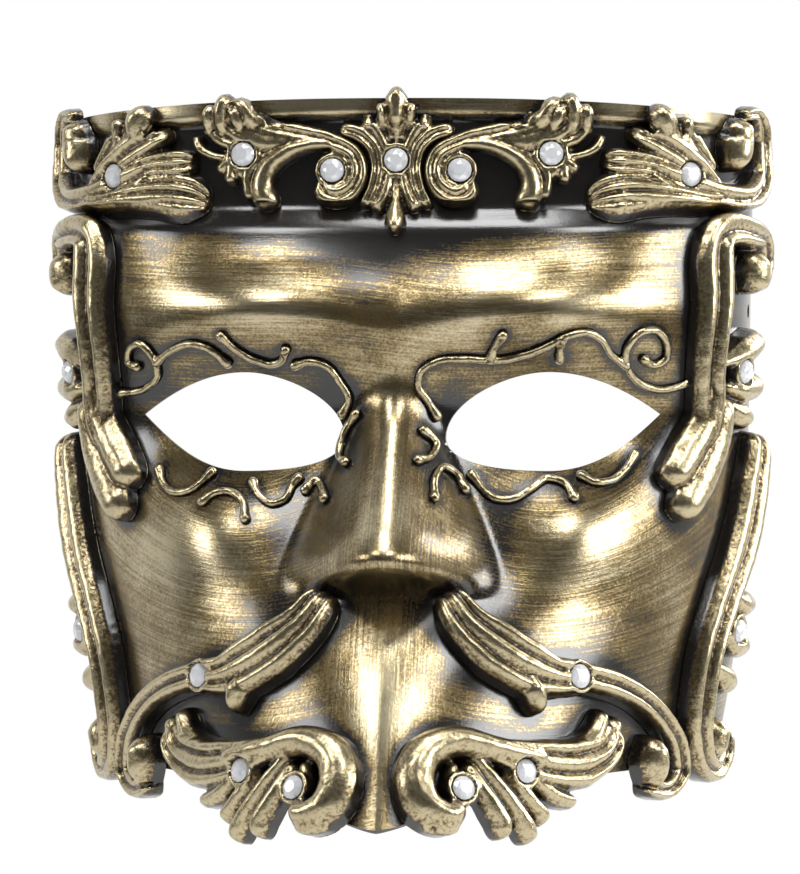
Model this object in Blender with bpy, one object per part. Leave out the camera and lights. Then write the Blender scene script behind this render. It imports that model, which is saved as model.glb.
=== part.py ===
"""Venetian masquerade mask: a moulded full-face shell with carved scrolls, filigree and rhinestones.

The sizes below are millimetres and the model is in metres. +Z is up and the mask faces -Y. X = 0 is its
middle plane, Y = 0 is the flat rear rim and Z = 0 is the line of the eyes.
"""
import math

import bmesh
import bpy
import numpy as np
from mathutils import Matrix, Vector
from mathutils.bvhtree import BVHTree

MM = 0.001

# Shell: outline
HALF_WIDTH = 86.5
CHIN_HALF_WIDTH = 74.0
TOP_EDGE = 82.0
TOP_DROP = 4.0
BOTTOM_EDGE = -99.25
BOTTOM_RISE = 14.0
BOTTOM_RISE_SPREAD = 38.0
WALL = 2.2

# Shell: depth in front of the rear rim
TOP_DEPTH = 50.0
FOREHEAD_DEPTH = 58.0
EYE_DEPTH = 56.0
JAW_DEPTH = 86.0
PROW_DEPTH = 104.0

# Shell: face
BROW_HEIGHT = 6.0
BROW_ACROSS = 33.0
BROW_UP = 29.0
BROW_SPREAD = (26.0, 10.0)
FROWN_HEIGHT = 4.0
FROWN_DROP = 5.0
FROWN_SPREAD = (16.0, 12.0)
SOCKET_DEPTH = 9.0
SOCKET_SHIFT = (2.0, 1.0)
SOCKET_SPREAD = (25.0, 13.0)
CHEEK_HEIGHT = 5.0
CHEEK_ACROSS = 48.0
CHEEK_UP = -28.0
CHEEK_SPREAD = (16.0, 14.0)
NOSE_HEIGHT = 25.0
NOSE_TIP = -30.0
NOSE_BASE = -43.0
NOSE_BRIDGE = 11.0
NOSE_HALF_WIDTH = 25.0
BRIDGE_HALF_WIDTH = 9.0
NOSE_ROUNDNESS = 1.15
JAW_UP = -60.0
RELIEF_FADE = 16.0
HEADER_FOOT = 52.0
HEADER_STEP = 4.5
HEADER_RECESS = 3.0
LIP_WIDTH = 4.5
LIP_STEP = 3.0
LIP_HEIGHT = 2.2

# Eye holes, measured from the middle of each eye
EYE_ACROSS = 38.25
EYE_OUTER = 27.0
EYE_INNER = 25.5
EYE_TOP = 13.25
EYE_BOTTOM = 11.5
EYE_OUTER_UP = 2.75
EYE_INNER_UP = -3.0

# Holes for the band, through the side walls
BAND_HOLE = 3.5
BAND_HOLE_UP = 29.0
BAND_HOLE_DEEP = 6.5

# Ornaments: height of the side of a rib, below its round top
SEAT_GAP = 0.3
PALMETTE_LIFT = 1.0
ACANTHUS_LIFT = 1.5
CORNER_LIFT = 2.5
SIDE_LIFT = 3.0
MOUSTACHE_LIFT = 3.0
BEARD_LIFT = 3.0
FILIGREE_LIFT = 0.7
FILIGREE_RADIUS = 1.1

# Rhinestones
GEM_RADIUS = 3.0
GEM_TABLE_RADIUS = 1.7
GEM_GIRDLE = 0.4
GEM_HEIGHT = 1.6
GEM_SIDES = 8
BEZEL_CLEARANCE = 0.5
BEZEL_WALL = 1.0
BEZEL_RISE = 0.7

# Facets and carving
COLUMNS = 13
OVERHANG = 25.0
FORMER_BACK = 10.0
SLOPE_STEP = 0.05
SETTLE_ROUNDS = 4
RIB_SINK = 1.5
RIB_NOSE = 0.7
RIB_NOSE_SHARE = 0.5
STRAND_TOP = 0.6
BED_SHARE = 0.6
ARCH_POINTS = 7
ARC_STEPS = 7
POCKET_REACH = 10.0
FINE_STEP = 0.5
CARVED_TURN = math.radians(16.0)
CARVED_STEP = 3.0
STRAND_TURN = math.radians(42.0)
STRAND_STEP = 12.0
CARVING_GRAIN = 0.55
BED_DOME = 0.35
ROUND_SIDES = 12

# Heights that the rows of the shell's faces pass through, and the number of rows up to the next
LEVELS = (
    (BOTTOM_EDGE, 4),
    (JAW_UP, 2),
    (NOSE_BASE - 3.0, 4),
    (NOSE_TIP, 4),
    (0.0, 4),
    (BROW_UP, 3),
    (HEADER_FOOT - HEADER_STEP / 2.0, 1),
    (HEADER_FOOT + HEADER_STEP / 2.0, 2),
    (TOP_EDGE - LIP_WIDTH - LIP_STEP / 2.0, 1),
    (TOP_EDGE - LIP_WIDTH + LIP_STEP / 2.0, 1),
    (TOP_EDGE, 1),
)

# Ridge of the nose: share of the way to the bridge, or down to the base, and share of the nose's height
NOSE_PROFILE = (
    (-1.0, 0.0), (-0.75, 0.25), (-0.45, 0.78), (-0.2, 0.97), (0.0, 1.0),
    (0.3, 0.71), (0.6, 0.43), (0.85, 0.19), (1.0, 0.0),
)

# Height, half width, depth and roundness of the shell's cross-sections
STATIONS = (
    (BOTTOM_EDGE, CHIN_HALF_WIDTH, PROW_DEPTH, 1.5),
    (JAW_UP, HALF_WIDTH - 5.0, JAW_DEPTH, 1.6),
    (-30.0, HALF_WIDTH - 2.0, 66.0, 1.9),
    (0.0, HALF_WIDTH - 1.0, EYE_DEPTH, 2.2),
    (30.0, HALF_WIDTH - 0.5, FOREHEAD_DEPTH, 2.4),
    (55.0, HALF_WIDTH, TOP_DEPTH + 2.0, 2.5),
    (TOP_EDGE, HALF_WIDTH, TOP_DEPTH, 2.5),
)


def fore(across, up, radius):
    """One point of a rib on the front of the shell."""
    return "fore", across, up, radius


def flank(deep, up, radius):
    """One point of a rib on the side wall, a distance in front of the rear rim."""
    return "flank", deep, up, radius


# The ornaments are drawn for a shell of this half width, and stretch across with the shell
DRAWN_HALF_WIDTH = 86.5

# Palmette, from the middle of the top edge: one half, and the beads on the middle line
PALMETTE_BEADS = (
    (fore(0, 2.5, 1.5), fore(0, 0, 3.2), fore(0, -5, 2.2), fore(0, -11, 0.9)),
    (fore(0, -34.2, 1.6), fore(0, -31.8, 2.9), fore(0, -28, 1.9), fore(0, -19, 1.0)),
)
PALMETTE_LEAVES = (
    (fore(3.9, -2, 1.4), fore(3, -4.5, 1.3), fore(1.4, -7.5, 1.1), fore(0.8, -10.5, 0.8)),
    (fore(7.5, -4.8, 1.8), fore(3.6, -9, 1.7), fore(1.6, -13.5, 1.4), fore(1.4, -17, 1.2),
     fore(2.4, -23, 1.5), fore(5, -29, 1.5)),
    (fore(14, -8, 1.7), fore(9.3, -9, 1.7), fore(5.5, -11.8, 1.6), fore(3.6, -16.5, 1.6),
     fore(4.5, -22, 1.5), fore(7.5, -27.8, 1.5)),
)
PALMETTE_BEDS = ((fore(0, -8, 3.0), fore(0, -14, 4.5), fore(0, -22, 3.5), fore(0, -28, 3.0)),)
PALMETTE_SEATS = ((fore(0, -15.75, GEM_RADIUS), 2.6),)

# Acanthus scroll, from the middle of the top edge
ACANTHUS_RIBS = (
    (fore(40.4, -2.25, 2.9), fore(35.1, -6, 2.6), fore(25.6, -8.75, 2.2), fore(16.1, -11, 2.0),
     fore(10.4, -14.25, 2.2), fore(9.1, -18.75, 2.4), fore(11.1, -23.25, 2.6), fore(15.4, -25.25, 2.9),
     fore(17.9, -23.8, 2.6), fore(18.6, -22, 2.4)),
    (fore(16, -11.6, 1.4), fore(21.1, -11.75, 1.9), fore(27.6, -13.75, 2.2), fore(32.1, -17.5, 2.4),
     fore(33.6, -22.75, 2.7), fore(31.9, -27.5, 2.9)),
    (fore(29.6, -13.5, 1.0), fore(34.6, -15.75, 1.3), fore(36.9, -19.5, 1.4), fore(36.1, -26.25, 1.0)),
    (fore(42.9, 0, 2.0), fore(43.9, -3.75, 1.9), fore(42.1, -7.75, 1.8), fore(37.6, -10.5, 1.6),
     fore(29.9, -11.5, 1.0)),
    (fore(46.6, -2.5, 1.6), fore(46.9, -6.75, 1.7), fore(44.1, -10.5, 1.6), fore(39.4, -12.25, 1.2)),
    (fore(51.1, -9.75, 1.3), fore(49.4, -12.5, 1.4), fore(45.4, -14.5, 1.3), fore(41.6, -14.8, 1.0)),
    (fore(41.6, -14.8, 1.2), fore(44, -17, 1.8), fore(41.9, -20.25, 1.8), fore(41.4, -21.4, 1.5)),
)
ACANTHUS_BEDS = (
    (fore(40.5, -6, 3.5), fore(34, -10.5, 4.5), fore(26, -11.5, 2.5)),
    (fore(46.5, -11.5, 2.5), fore(41, -13.5, 3.5), fore(36, -16, 3.5)),
)
ACANTHUS_SEATS = ((fore(15.9, -18.4, GEM_RADIUS), 3.0), (fore(38.2, -14.2, GEM_RADIUS), 3.2))

# Corner leaf, from the upper corner of the shell
CORNER_RIBS = (
    (fore(-11.5, -13, 3.6), fore(-10.5, -8.5, 3.4), flank(17, -5.5, 3.0), flank(10, -8, 3.0),
     flank(8, -14, 3.0), flank(9, -19, 3.0), flank(13, -22.5, 3.0), fore(-9, -25.8, 2.8),
     fore(-14, -26.5, 2.6), fore(-20.2, -26.8, 2.4), fore(-26.4, -29.5, 2.0), fore(-31.4, -32.75, 1.5)),
    (fore(-2, -17, 2.0), fore(-5.5, -23.25, 2.4), fore(-11.3, -25.25, 2.6), fore(-19.8, -23.25, 2.6),
     fore(-29.4, -23.25, 2.4), fore(-36.3, -20.75, 1.6)),
    (fore(-7.9, -23.25, 2.0), fore(-14.9, -20.25, 2.6), fore(-23.2, -16.25, 2.6), fore(-33.1, -13.25, 2.0)),
    (fore(-9.2, -22, 2.0), fore(-15.6, -17, 2.6), fore(-20.9, -11.25, 3.0), fore(-26.9, -7.5, 2.4)),
    (fore(-7.9, -20.75, 1.8), fore(-13.7, -15.75, 2.4), fore(-18.1, -8.75, 3.0), fore(-21.9, -2.25, 2.6)),
    (fore(-10.4, -17, 1.2), fore(-13.3, -10.75, 1.6), fore(-15.6, -5, 1.4)),
)
CORNER_BEDS = (
    (fore(-7, -22, 4.0), fore(-15, -21, 6.0), fore(-24, -18.5, 6.0), fore(-30, -18, 4.0)),
    (fore(-9, -19, 3.0), fore(-15, -14, 5.0), fore(-20, -8, 4.5)),
    (fore(-9, -24, 3.0), fore(-18, -24.5, 4.0), fore(-27, -26, 4.0)),
)
CORNER_SEATS = ((fore(-16.3, -19.2, GEM_RADIUS), 4.2),)

# Upper side scroll, from the side of the shell at the line of the eyes
UPPER_SIDE_RIBS = (
    (flank(14, 38, 3.2), flank(8, 40.5, 4.0), flank(8, 45.4, 4.0), flank(15, 48.2, 3.6),
     fore(-9, 47.4, 3.6), fore(-10, 43, 4.0), fore(-9.5, 34, 3.8), fore(-9, 24, 3.5), fore(-9, 14, 3.5),
     fore(-10.5, 5, 3.5), fore(-13.5, -3, 3.5), fore(-16.5, -12, 3.2), fore(-20, -21.5, 2.6)),
    (fore(-4.7, 10, 2.0), fore(-6.5, -1.25, 2.5), fore(-9.7, -12.5, 2.8), fore(-14, -23.75, 2.4)),
    (fore(-11.8, 7.5, 1.5), fore(-16.5, -1, 2.2), fore(-21, -13.75, 1.8)),
    (fore(-9, 17, 2.0), flank(20, 18.5, 2.4), flank(13, 19.5, 2.2)),
    (fore(-8, 8, 2.0), flank(20, 8.5, 2.4), flank(13, 8.75, 2.2)),
    (fore(-7, 4, 2.0), flank(20, 3.5, 2.4), flank(13, 3, 2.2)),
)
UPPER_SIDE_BEDS = ((fore(-8, 12, 3.5), fore(-11, 0, 5.5), fore(-14.5, -12, 5.5), fore(-17, -19, 4.0)),)
UPPER_SIDE_SEATS = ((flank(22, 14, GEM_RADIUS), 3.6),)

# Lower side scroll, from the rear rim at the line of the eyes
LOWER_SIDE_RIBS = (
    (flank(10, -2, 2.5), flank(12, -15, 3.2), flank(15, -30, 3.3), flank(20, -44, 3.3),
     flank(25, -58, 3.3), flank(27, -68, 3.2), flank(25, -77, 3.2), flank(20, -85.2, 3.4),
     flank(13, -87.6, 3.4), flank(8, -83, 3.4), flank(9, -77.5, 3.2), flank(15, -76, 3.2)),
    (flank(18, -44, 2.0), flank(9, -48.75, 2.4)),
    (flank(22, -53, 2.0), flank(11, -55.75, 2.4)),
    (flank(24, -61, 2.0), flank(13, -63, 2.4)),
)
LOWER_SIDE_BEDS = ((flank(14, -44, 4.0), flank(17, -53, 5.0), flank(19, -62, 4.0)),)
LOWER_SIDE_SEATS = ((flank(16, -51.5, GEM_RADIUS), 3.6),)

# Moustache leaf, from the middle of the base of the nose
MOUSTACHE_RIBS = (
    (fore(15.8, -0.25, 2.6), fore(24.7, -5.25, 3.0), fore(36.5, -12.25, 3.2), fore(45.4, -17.25, 3.2),
     fore(55.7, -21, 3.0), fore(62.9, -27.25, 2.8), fore(66.4, -36, 2.8), fore(66.3, -44, 3.0),
     fore(62.2, -49.2, 3.2), fore(58.4, -46.2, 3.0), fore(59.6, -40.25, 3.0), fore(61.6, -39.75, 2.8)),
    (fore(12.1, -2.25, 2.8), fore(19.8, -10.25, 3.4), fore(28.8, -16.75, 3.4), fore(39.1, -21, 3.0),
     fore(47.9, -23, 2.0)),
    (fore(10.7, -5.25, 2.2), fore(15, -12.25, 2.6), fore(22.8, -18.5, 2.8), fore(31.6, -23.5, 2.4),
     fore(37.9, -24.5, 1.6)),
    (fore(34, -20.25, 2.4), fore(36.4, -26, 2.4), fore(38.9, -30.5, 1.5)),
    (fore(43, -24.75, 1.6), fore(49.4, -24, 1.8), fore(56.2, -27.25, 1.8), fore(61, -33.5, 1.6)),
)
MOUSTACHE_BEDS = (
    (fore(14, -2.5, 4.0), fore(21, -8.5, 6.0), fore(31, -15.5, 6.5), fore(42, -20.5, 5.5),
     fore(52, -23, 4.0), fore(60, -30, 3.0)),
    (fore(14, -8, 3.0), fore(22, -15, 5.0), fore(31, -20.5, 4.5), fore(37, -23, 3.0)),
)
MOUSTACHE_SEATS = ((fore(43.8, -20, GEM_RADIUS), 4.5),)

# Beard scroll, from the middle of the bottom edge
BEARD_RIBS = (
    (fore(52.8, 25.6, 2.2), fore(50.6, 18.4, 3.0), fore(45.4, 14, 3.8), fore(36, 15, 4.0),
     fore(25.3, 18.5, 4.0), fore(15.9, 21, 4.0), fore(9.2, 17.5, 4.0), fore(7.5, 10.5, 4.0),
     fore(9.9, 3.5, 3.8), fore(15.2, 1, 3.4), fore(18.4, 4.25, 2.8), fore(18.4, 8, 2.2)),
    (fore(50.6, 27.5, 2.2), fore(48.2, 21.75, 2.8), fore(41.4, 18, 2.4)),
    (fore(36, 11.75, 1.8), fore(26.5, 15, 2.2), fore(19.7, 16.75, 2.2), fore(17.7, 13, 1.8)),
    (fore(37.2, 10.5, 2.0), fore(44, 6.25, 1.8)),
    (fore(33.2, 9.25, 2.2), fore(37.7, 2.25, 2.0)),
    (fore(28.9, 10.5, 2.4), fore(32.2, 3, 2.8), fore(35, -3.8, 2.6)),
    (fore(23.6, 14.2, 2.2), fore(26.7, 4.25, 2.6), fore(28.7, -1.8, 2.4)),
    (fore(23.4, 6.5, 1.8), fore(25.3, -0.8, 2.2)),
)
BEARD_BEDS = (
    (fore(51, 23, 4.0), fore(46, 17, 5.0), fore(36, 13.5, 5.5), fore(26, 15, 5.0), fore(18, 15, 4.0)),
    (fore(33, 10, 4.5), fore(29, 6, 5.0), fore(24, 8, 3.5)),
)
BEARD_SEATS = ((fore(31.8, 13, GEM_RADIUS), 4.8), (fore(18.3, 8.85, GEM_RADIUS), 4.4))

# Filigree strands, across and up from the middle of each eye
LEFT_FILIGREE = (
    (((28.2, 14.9), (30.5, 15.8), (30.2, 19), (27, 20.6), (23.8, 17.4), (22.8, 12.9), (26.4, 9.4),
      (33.3, 8.2)),
     ((22.8, 16.1), (18, 19.3), (12.8, 20.6), (8.4, 19.3), (4.2, 15.8))),
    (((5.1, 22.5), (0.9, 18.7), (-3.6, 16.4), (-7.4, 15.5), (-9.9, 16.4), (-11.2, 19)),),
    (((-13.4, 15.2), (-17, 16.1), (-21.5, 14.9), (-24.6, 11), (-26.8, 6.6), (-25.2, 2.8)),),
    (((-29, 2.6), (-26.4, -1), (-24.9, -5.3), (-24.9, -8.3), (-26.9, -9.5)),),
    (((22.4, -11.3), (21.2, -14.7), (17.3, -17.1), (12.9, -16.2), (10.2, -14), (8.4, -12.2)),),
    (((10, -19.4), (6.9, -17.3), (2.7, -17.1), (-0.3, -19.2), (-1.2, -23.5)),),
    (((-2.7, -14.7), (-4.6, -18), (-7.9, -19.8), (-11.2, -18.6), (-13, -15), (-14.4, -13.5)),),
    (((-16.3, -16.4), (-18.7, -13.9), (-20.5, -15.6), (-21.8, -18.6)),),
)
RIGHT_FILIGREE = (
    (((-28, 2.1), (-29.9, 5.6), (-32.2, 9.75), (-31.2, 13.6), (-28, 15.8), (-19.7, 16.75), (-13.4, 16.4),
      (-5.1, 18), (0.7, 20.3), (5.1, 22.5), (10.2, 23.25), (13.4, 21.25), (15.3, 18), (18.8, 15.2)),
     ((-14.1, 17.0), (-12.7, 20), (-10.7, 22.5)),
     ((3.8, 21.6), (3, 19), (2.8, 16.8)),
     ((35.1, 11.65), (31.3, 9.75), (26.2, 9.1), (21.7, 11), (19.2, 14.85), (19.2, 19.3), (22.4, 23.15),
      (26.2, 23.75), (28.7, 20.6), (28.4, 16.75), (25.5, 15.2), (23.3, 16.5))),
    (((-31, -1.6), (-28, -4.6), (-28.9, -8.1), (-31.7, -9)),),
    (((-27.2, -18.3), (-27.5, -13.5), (-25.2, -10.8), (-22.9, -12.3), (-20.4, -16.2)),),
    (((-18.8, -12.6), (-16.6, -15.4), (-13.3, -18.3), (-8.2, -18.6), (-4.4, -16.4), (0.1, -13.6),
      (4.1, -14.8), (6.6, -18.3)),),
    (((8, -12.9), (11.2, -14.5), (15, -14.2), (18.8, -11), (20.7, -7.5)),),
)


def hermite(knots, values, places):
    """Smooth curve through values at rising knots, read at the given places."""
    knots = np.asarray(knots, dtype=float)
    values = np.asarray(values, dtype=float)
    slopes = np.gradient(values, knots, axis=0)
    places = np.clip(np.asarray(places, dtype=float), knots[0], knots[-1])
    index = np.clip(np.searchsorted(knots, places, side="right") - 1, 0, len(knots) - 2)
    step = knots[index + 1] - knots[index]
    share = (places - knots[index]) / step
    if values.ndim > 1:
        step = step[..., None]
        share = share[..., None]
    rest = 1.0 - share
    before = values[index] * (1.0 + 2.0 * share) * rest ** 2
    after = values[index + 1] * (3.0 - 2.0 * share) * share ** 2
    lean = slopes[index] * share * rest ** 2 - slopes[index + 1] * share ** 2 * rest
    return before + after + lean * step


def station(up, column):
    """One measure of the shell's cross-section at a height."""
    return hermite([row[0] for row in STATIONS], [row[column] for row in STATIONS], up)


def smoothstep(low, high, value):
    share = np.clip((value - low) / (high - low), 0.0, 1.0)
    return share * share * (3.0 - 2.0 * share)


def swell(offset, spread):
    return np.exp(-(offset / spread) ** 2)


def hill(across, up, spread):
    """A smooth rise, one high in its middle."""
    return swell(across, spread[0]) * swell(up, spread[1])


def top_edge(share):
    """Height of the upper edge, at a share of the half width."""
    return TOP_EDGE - TOP_DROP * share ** 2


def bottom_edge(share):
    return BOTTOM_EDGE + BOTTOM_RISE * (1.0 - swell(share * CHIN_HALF_WIDTH, BOTTOM_RISE_SPREAD))


def nose(across, up):
    """Height of the nose over the face: a round ridge that widens and grows towards the tip."""
    ridge = NOSE_BRIDGE - NOSE_TIP
    below = NOSE_TIP - NOSE_BASE
    heights = [NOSE_TIP + run * (ridge if run > 0.0 else below) for run, _ in NOSE_PROFILE]
    height = NOSE_HEIGHT * np.clip(hermite(heights, [share for _, share in NOSE_PROFILE], up), 0.0, None)
    flare = 1.0 - smoothstep(NOSE_BASE, NOSE_BRIDGE, up)
    half = BRIDGE_HALF_WIDTH + (NOSE_HALF_WIDTH - BRIDGE_HALF_WIDTH) * flare
    share = np.clip(np.abs(across) / half, 0.0, 1.0)
    return height * np.cos(0.5 * math.pi * share) ** NOSE_ROUNDNESS


def relief(across, up):
    """How far the face stands in front of the plain cross-section."""
    side = np.abs(across)
    brow = BROW_HEIGHT * hill(side - BROW_ACROSS, up - BROW_UP, BROW_SPREAD)
    frown = FROWN_HEIGHT * hill(side, up - BROW_UP + FROWN_DROP, FROWN_SPREAD)
    socket = SOCKET_DEPTH * hill(side - EYE_ACROSS - SOCKET_SHIFT[0], up - SOCKET_SHIFT[1], SOCKET_SPREAD)
    cheek = CHEEK_HEIGHT * hill(side - CHEEK_ACROSS, up - CHEEK_UP, CHEEK_SPREAD)
    header = HEADER_RECESS * smoothstep(-HEADER_STEP / 2.0, HEADER_STEP / 2.0, up - HEADER_FOOT)
    below_lip = top_edge(side / HALF_WIDTH) - LIP_WIDTH - up
    lip = LIP_HEIGHT * (1.0 - smoothstep(-LIP_STEP / 2.0, LIP_STEP / 2.0, below_lip))
    return brow + frown - socket + cheek + nose(across, up) - header + lip


def plain_depth(across, up):
    """Depth of the plain cross-section in front of the rear rim."""
    roundness = station(up, 3)
    share = np.clip(np.abs(across) / station(up, 1), 0.0, 1.0)
    return station(up, 2) * (1.0 - share ** roundness) ** (1.0 / roundness)


def face(across, up):
    """Relief of the face, faded out where the side walls run back to the rim."""
    return relief(across, up) * smoothstep(0.0, RELIEF_FADE, plain_depth(across, up))


def level(points):
    """Zero on the outside of the shell, below zero inside it."""
    across = points[:, 0]
    up = points[:, 2]
    roundness = station(up, 3)
    deep = np.clip(-points[:, 1] - face(across, up), 0.0, None)
    share = (np.abs(across) / station(up, 1)) ** roundness + (deep / station(up, 2)) ** roundness
    return share ** (1.0 / roundness) - 1.0


def gradient(points):
    """Direction in which the level grows, measured over a short step."""
    slopes = []
    for axis in range(3):
        offset = np.zeros(3)
        offset[axis] = SLOPE_STEP
        slopes.append((level(points + offset) - level(points - offset)) / (2.0 * SLOPE_STEP))
    return np.stack(slopes, axis=1)


def normals(points):
    slopes = gradient(points)
    return slopes / np.linalg.norm(slopes, axis=1)[:, None]


def settle(points):
    """The points, moved onto the outside of the shell."""
    for _ in range(SETTLE_ROUNDS):
        slopes = gradient(points)
        points = points - slopes * (level(points) / (slopes ** 2).sum(axis=1))[:, None]
    return points


def fore_point(across, up):
    return (across, -float(plain_depth(across, up) + face(across, up)), up)


def flank_point(sign, deep, up):
    roundness = float(station(up, 3))
    share = (1.0 - (deep / float(station(up, 2))) ** roundness) ** (1.0 / roundness)
    return (sign * float(station(up, 1)) * share, -deep, up)


def surface_points(sign, anchor, knots):
    """Places on the shell of a rib's points, counted from the ornament's anchor."""
    stretch = HALF_WIDTH / DRAWN_HALF_WIDTH
    places = []
    for kind, distance, up, _ in knots:
        height = anchor[1] + up
        if kind == "flank":
            places.append(flank_point(sign, distance, height))
        else:
            places.append(fore_point(sign * (anchor[0] + distance * stretch), height))
    return np.array(places)


def material(name, colour, roughness, metallic):
    """A plain finish for one kind of piece."""
    finish = bpy.data.materials.new(name)
    finish.use_nodes = True
    shader = finish.node_tree.nodes["Principled BSDF"]
    shader.inputs["Base Color"].default_value = (*colour, 1.0)
    shader.inputs["Roughness"].default_value = roughness
    shader.inputs["Metallic"].default_value = metallic
    return finish


def finish_object(name, mesh_data, finish):
    """Puts a mesh into the scene as one named piece."""
    piece = bpy.data.objects.new(name, mesh_data)
    bpy.context.scene.collection.objects.link(piece)
    if finish is not None:
        mesh_data.materials.append(finish)
    return piece


def to_mesh(name, shape):
    """Closes a bmesh with its faces pointing out and turns millimetres into metres."""
    bmesh.ops.recalc_face_normals(shape, faces=shape.faces)
    bmesh.ops.scale(shape, vec=(MM, MM, MM), verts=shape.verts)
    mesh_data = bpy.data.meshes.new(name)
    shape.to_mesh(mesh_data)
    shape.free()
    return mesh_data


def as_cutter(name, shape):
    """A hidden solid that only cuts others."""
    cutter = finish_object(name, to_mesh(name, shape), None)
    cutter.hide_render = True
    cutter.display_type = 'WIRE'
    return cutter


def cut(piece, cutter, joins_itself=False):
    """Takes a cutter out of a piece, and first joins the piece's own ribs where asked."""
    step = piece.modifiers.new("cut_" + cutter.name, 'BOOLEAN')
    step.operation = 'DIFFERENCE'
    step.solver = 'EXACT'
    step.use_self = joins_itself
    step.object = cutter


def carve(piece, kept):
    """Melts a bundle of ribs into one carved body and keeps a share of its faces."""
    melt = piece.modifiers.new("melt", 'REMESH')
    melt.mode = 'VOXEL'
    melt.voxel_size = CARVING_GRAIN * MM
    thin = piece.modifiers.new("thin", 'DECIMATE')
    thin.decimate_type = 'COLLAPSE'
    thin.ratio = kept


def shade(piece, angle):
    piece.data.shade_smooth()
    piece.data.set_sharp_from_angle(angle=math.radians(angle))


def column_shares():
    """Shares of the half width, closer together where the side walls turn back."""
    half = np.sin(np.linspace(0.0, math.pi / 2.0, COLUMNS)) ** 1.5
    return np.concatenate((-half[:0:-1], half))


def row_heights():
    """Heights of the rows of faces at the middle of the mask."""
    rows = []
    for (low, count), (high, _) in zip(LEVELS, LEVELS[1:]):
        rows.extend(np.linspace(low, high, count, endpoint=False))
    return rows + [TOP_EDGE]


def leaning(row, share):
    """A row's height towards the sides: rows near the edges lean over to follow them."""
    low = JAW_UP
    high = HEADER_FOOT + HEADER_STEP / 2.0
    if row < low:
        return low + (row - low) / (BOTTOM_EDGE - low) * (bottom_edge(share) - low)
    if row > high:
        return high + (row - high) / (TOP_EDGE - high) * (top_edge(share) - high)
    return row


def shell_grid(offset):
    """Points of the shell's surface, row by row, moved outwards by an offset."""
    grid = []
    for row in row_heights():
        places = []
        for share in column_shares():
            up = leaning(row, abs(share))
            places.append(fore_point(share * float(station(up, 1)), up))
        places = np.array(places)
        places[[0, -1], 1] = 0.0
        grid.append(places + normals(places) * offset)
    return grid


def long_grid(offset):
    """The shell's grid with a row more at the top and the bottom, past the edges."""
    grid = shell_grid(offset)
    above = grid[-1].copy()
    above[:, 2] = TOP_EDGE + OVERHANG
    below = grid[0].copy()
    below[:, 2] = BOTTOM_EDGE - OVERHANG
    return [below] + grid + [above]


def add_sheet(shape, grid):
    """Adds a grid of points as a sheet of triangles that mirror each other at the middle."""
    rows = [[shape.verts.new(place) for place in places] for places in grid]
    middle = len(rows[0]) // 2
    for lower, upper in zip(rows, rows[1:]):
        for index in range(len(lower) - 1):
            corners = [lower[index], lower[index + 1], upper[index + 1], upper[index]]
            if index < middle:
                corners = corners[1:] + corners[:1]
            shape.faces.new(corners[:3])
            shape.faces.new(corners[2:] + corners[:1])
    return rows


def shell_faces():
    """Search tree of the shell's outer faces, on which the ribs lie."""
    shape = bmesh.new()
    add_sheet(shape, long_grid(0.0))
    tree = BVHTree.FromBMesh(shape)
    shape.free()
    return tree


def border(shape):
    return [edge for edge in shape.edges if edge.is_boundary]


def eye_outline(sign):
    """Almond of one eye hole, as four arcs between its corners, top and bottom."""
    outer = (EYE_OUTER, EYE_OUTER_UP)
    top = (0.0, EYE_TOP)
    inner = (-EYE_INNER, EYE_INNER_UP)
    bottom = (0.0, -EYE_BOTTOM)
    arcs = (
        (outer, (0.71 * EYE_OUTER, 0.66 * EYE_TOP), (0.38 * EYE_OUTER, EYE_TOP), top),
        (top, (-0.4 * EYE_INNER, EYE_TOP), (-EYE_INNER, 0.45 * EYE_TOP), inner),
        (inner, (-EYE_INNER, -0.74 * EYE_BOTTOM), (-0.64 * EYE_INNER, -EYE_BOTTOM), bottom),
        (bottom, (0.44 * EYE_OUTER, -EYE_BOTTOM), (0.73 * EYE_OUTER, -0.39 * EYE_BOTTOM), outer),
    )
    outline = []
    for first, second, third, last in arcs:
        for share in np.arange(ARC_STEPS) / ARC_STEPS:
            rest = 1.0 - share
            weights = (rest ** 3, 3.0 * rest ** 2 * share, 3.0 * rest * share ** 2, share ** 3)
            corners = np.array((first, second, third, last))
            outline.append(np.array(weights) @ corners)
    return [(sign * (EYE_ACROSS + across), up) for across, up in outline]


def eye_cutter(name, sign):
    """A straight prism through the shell, in the shape of one eye hole."""
    shape = bmesh.new()
    front = -(EYE_DEPTH + NOSE_HEIGHT + BROW_HEIGHT)
    loop = [shape.verts.new((across, front, up)) for across, up in eye_outline(sign)]
    lid = shape.faces.new(loop)
    pulled = bmesh.ops.extrude_face_region(shape, geom=[lid])
    moved = [item for item in pulled["geom"] if isinstance(item, bmesh.types.BMVert)]
    bmesh.ops.translate(shape, vec=(0.0, -front, 0.0), verts=moved)
    return as_cutter(name, shape)


def band_hole_cutter():
    """A bar from side to side, which makes the hole for the band in both side walls."""
    shape = bmesh.new()
    place = Matrix.Translation((0.0, -BAND_HOLE_DEEP, BAND_HOLE_UP)) @ Matrix.Rotation(math.pi / 2.0, 4, 'Y')
    bmesh.ops.create_cone(shape, cap_ends=True, segments=ROUND_SIDES, radius1=BAND_HOLE / 2.0,
                          radius2=BAND_HOLE / 2.0, depth=2.0 * HALF_WIDTH + POCKET_REACH, matrix=place)
    return as_cutter("band_hole_cutter", shape)


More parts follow.
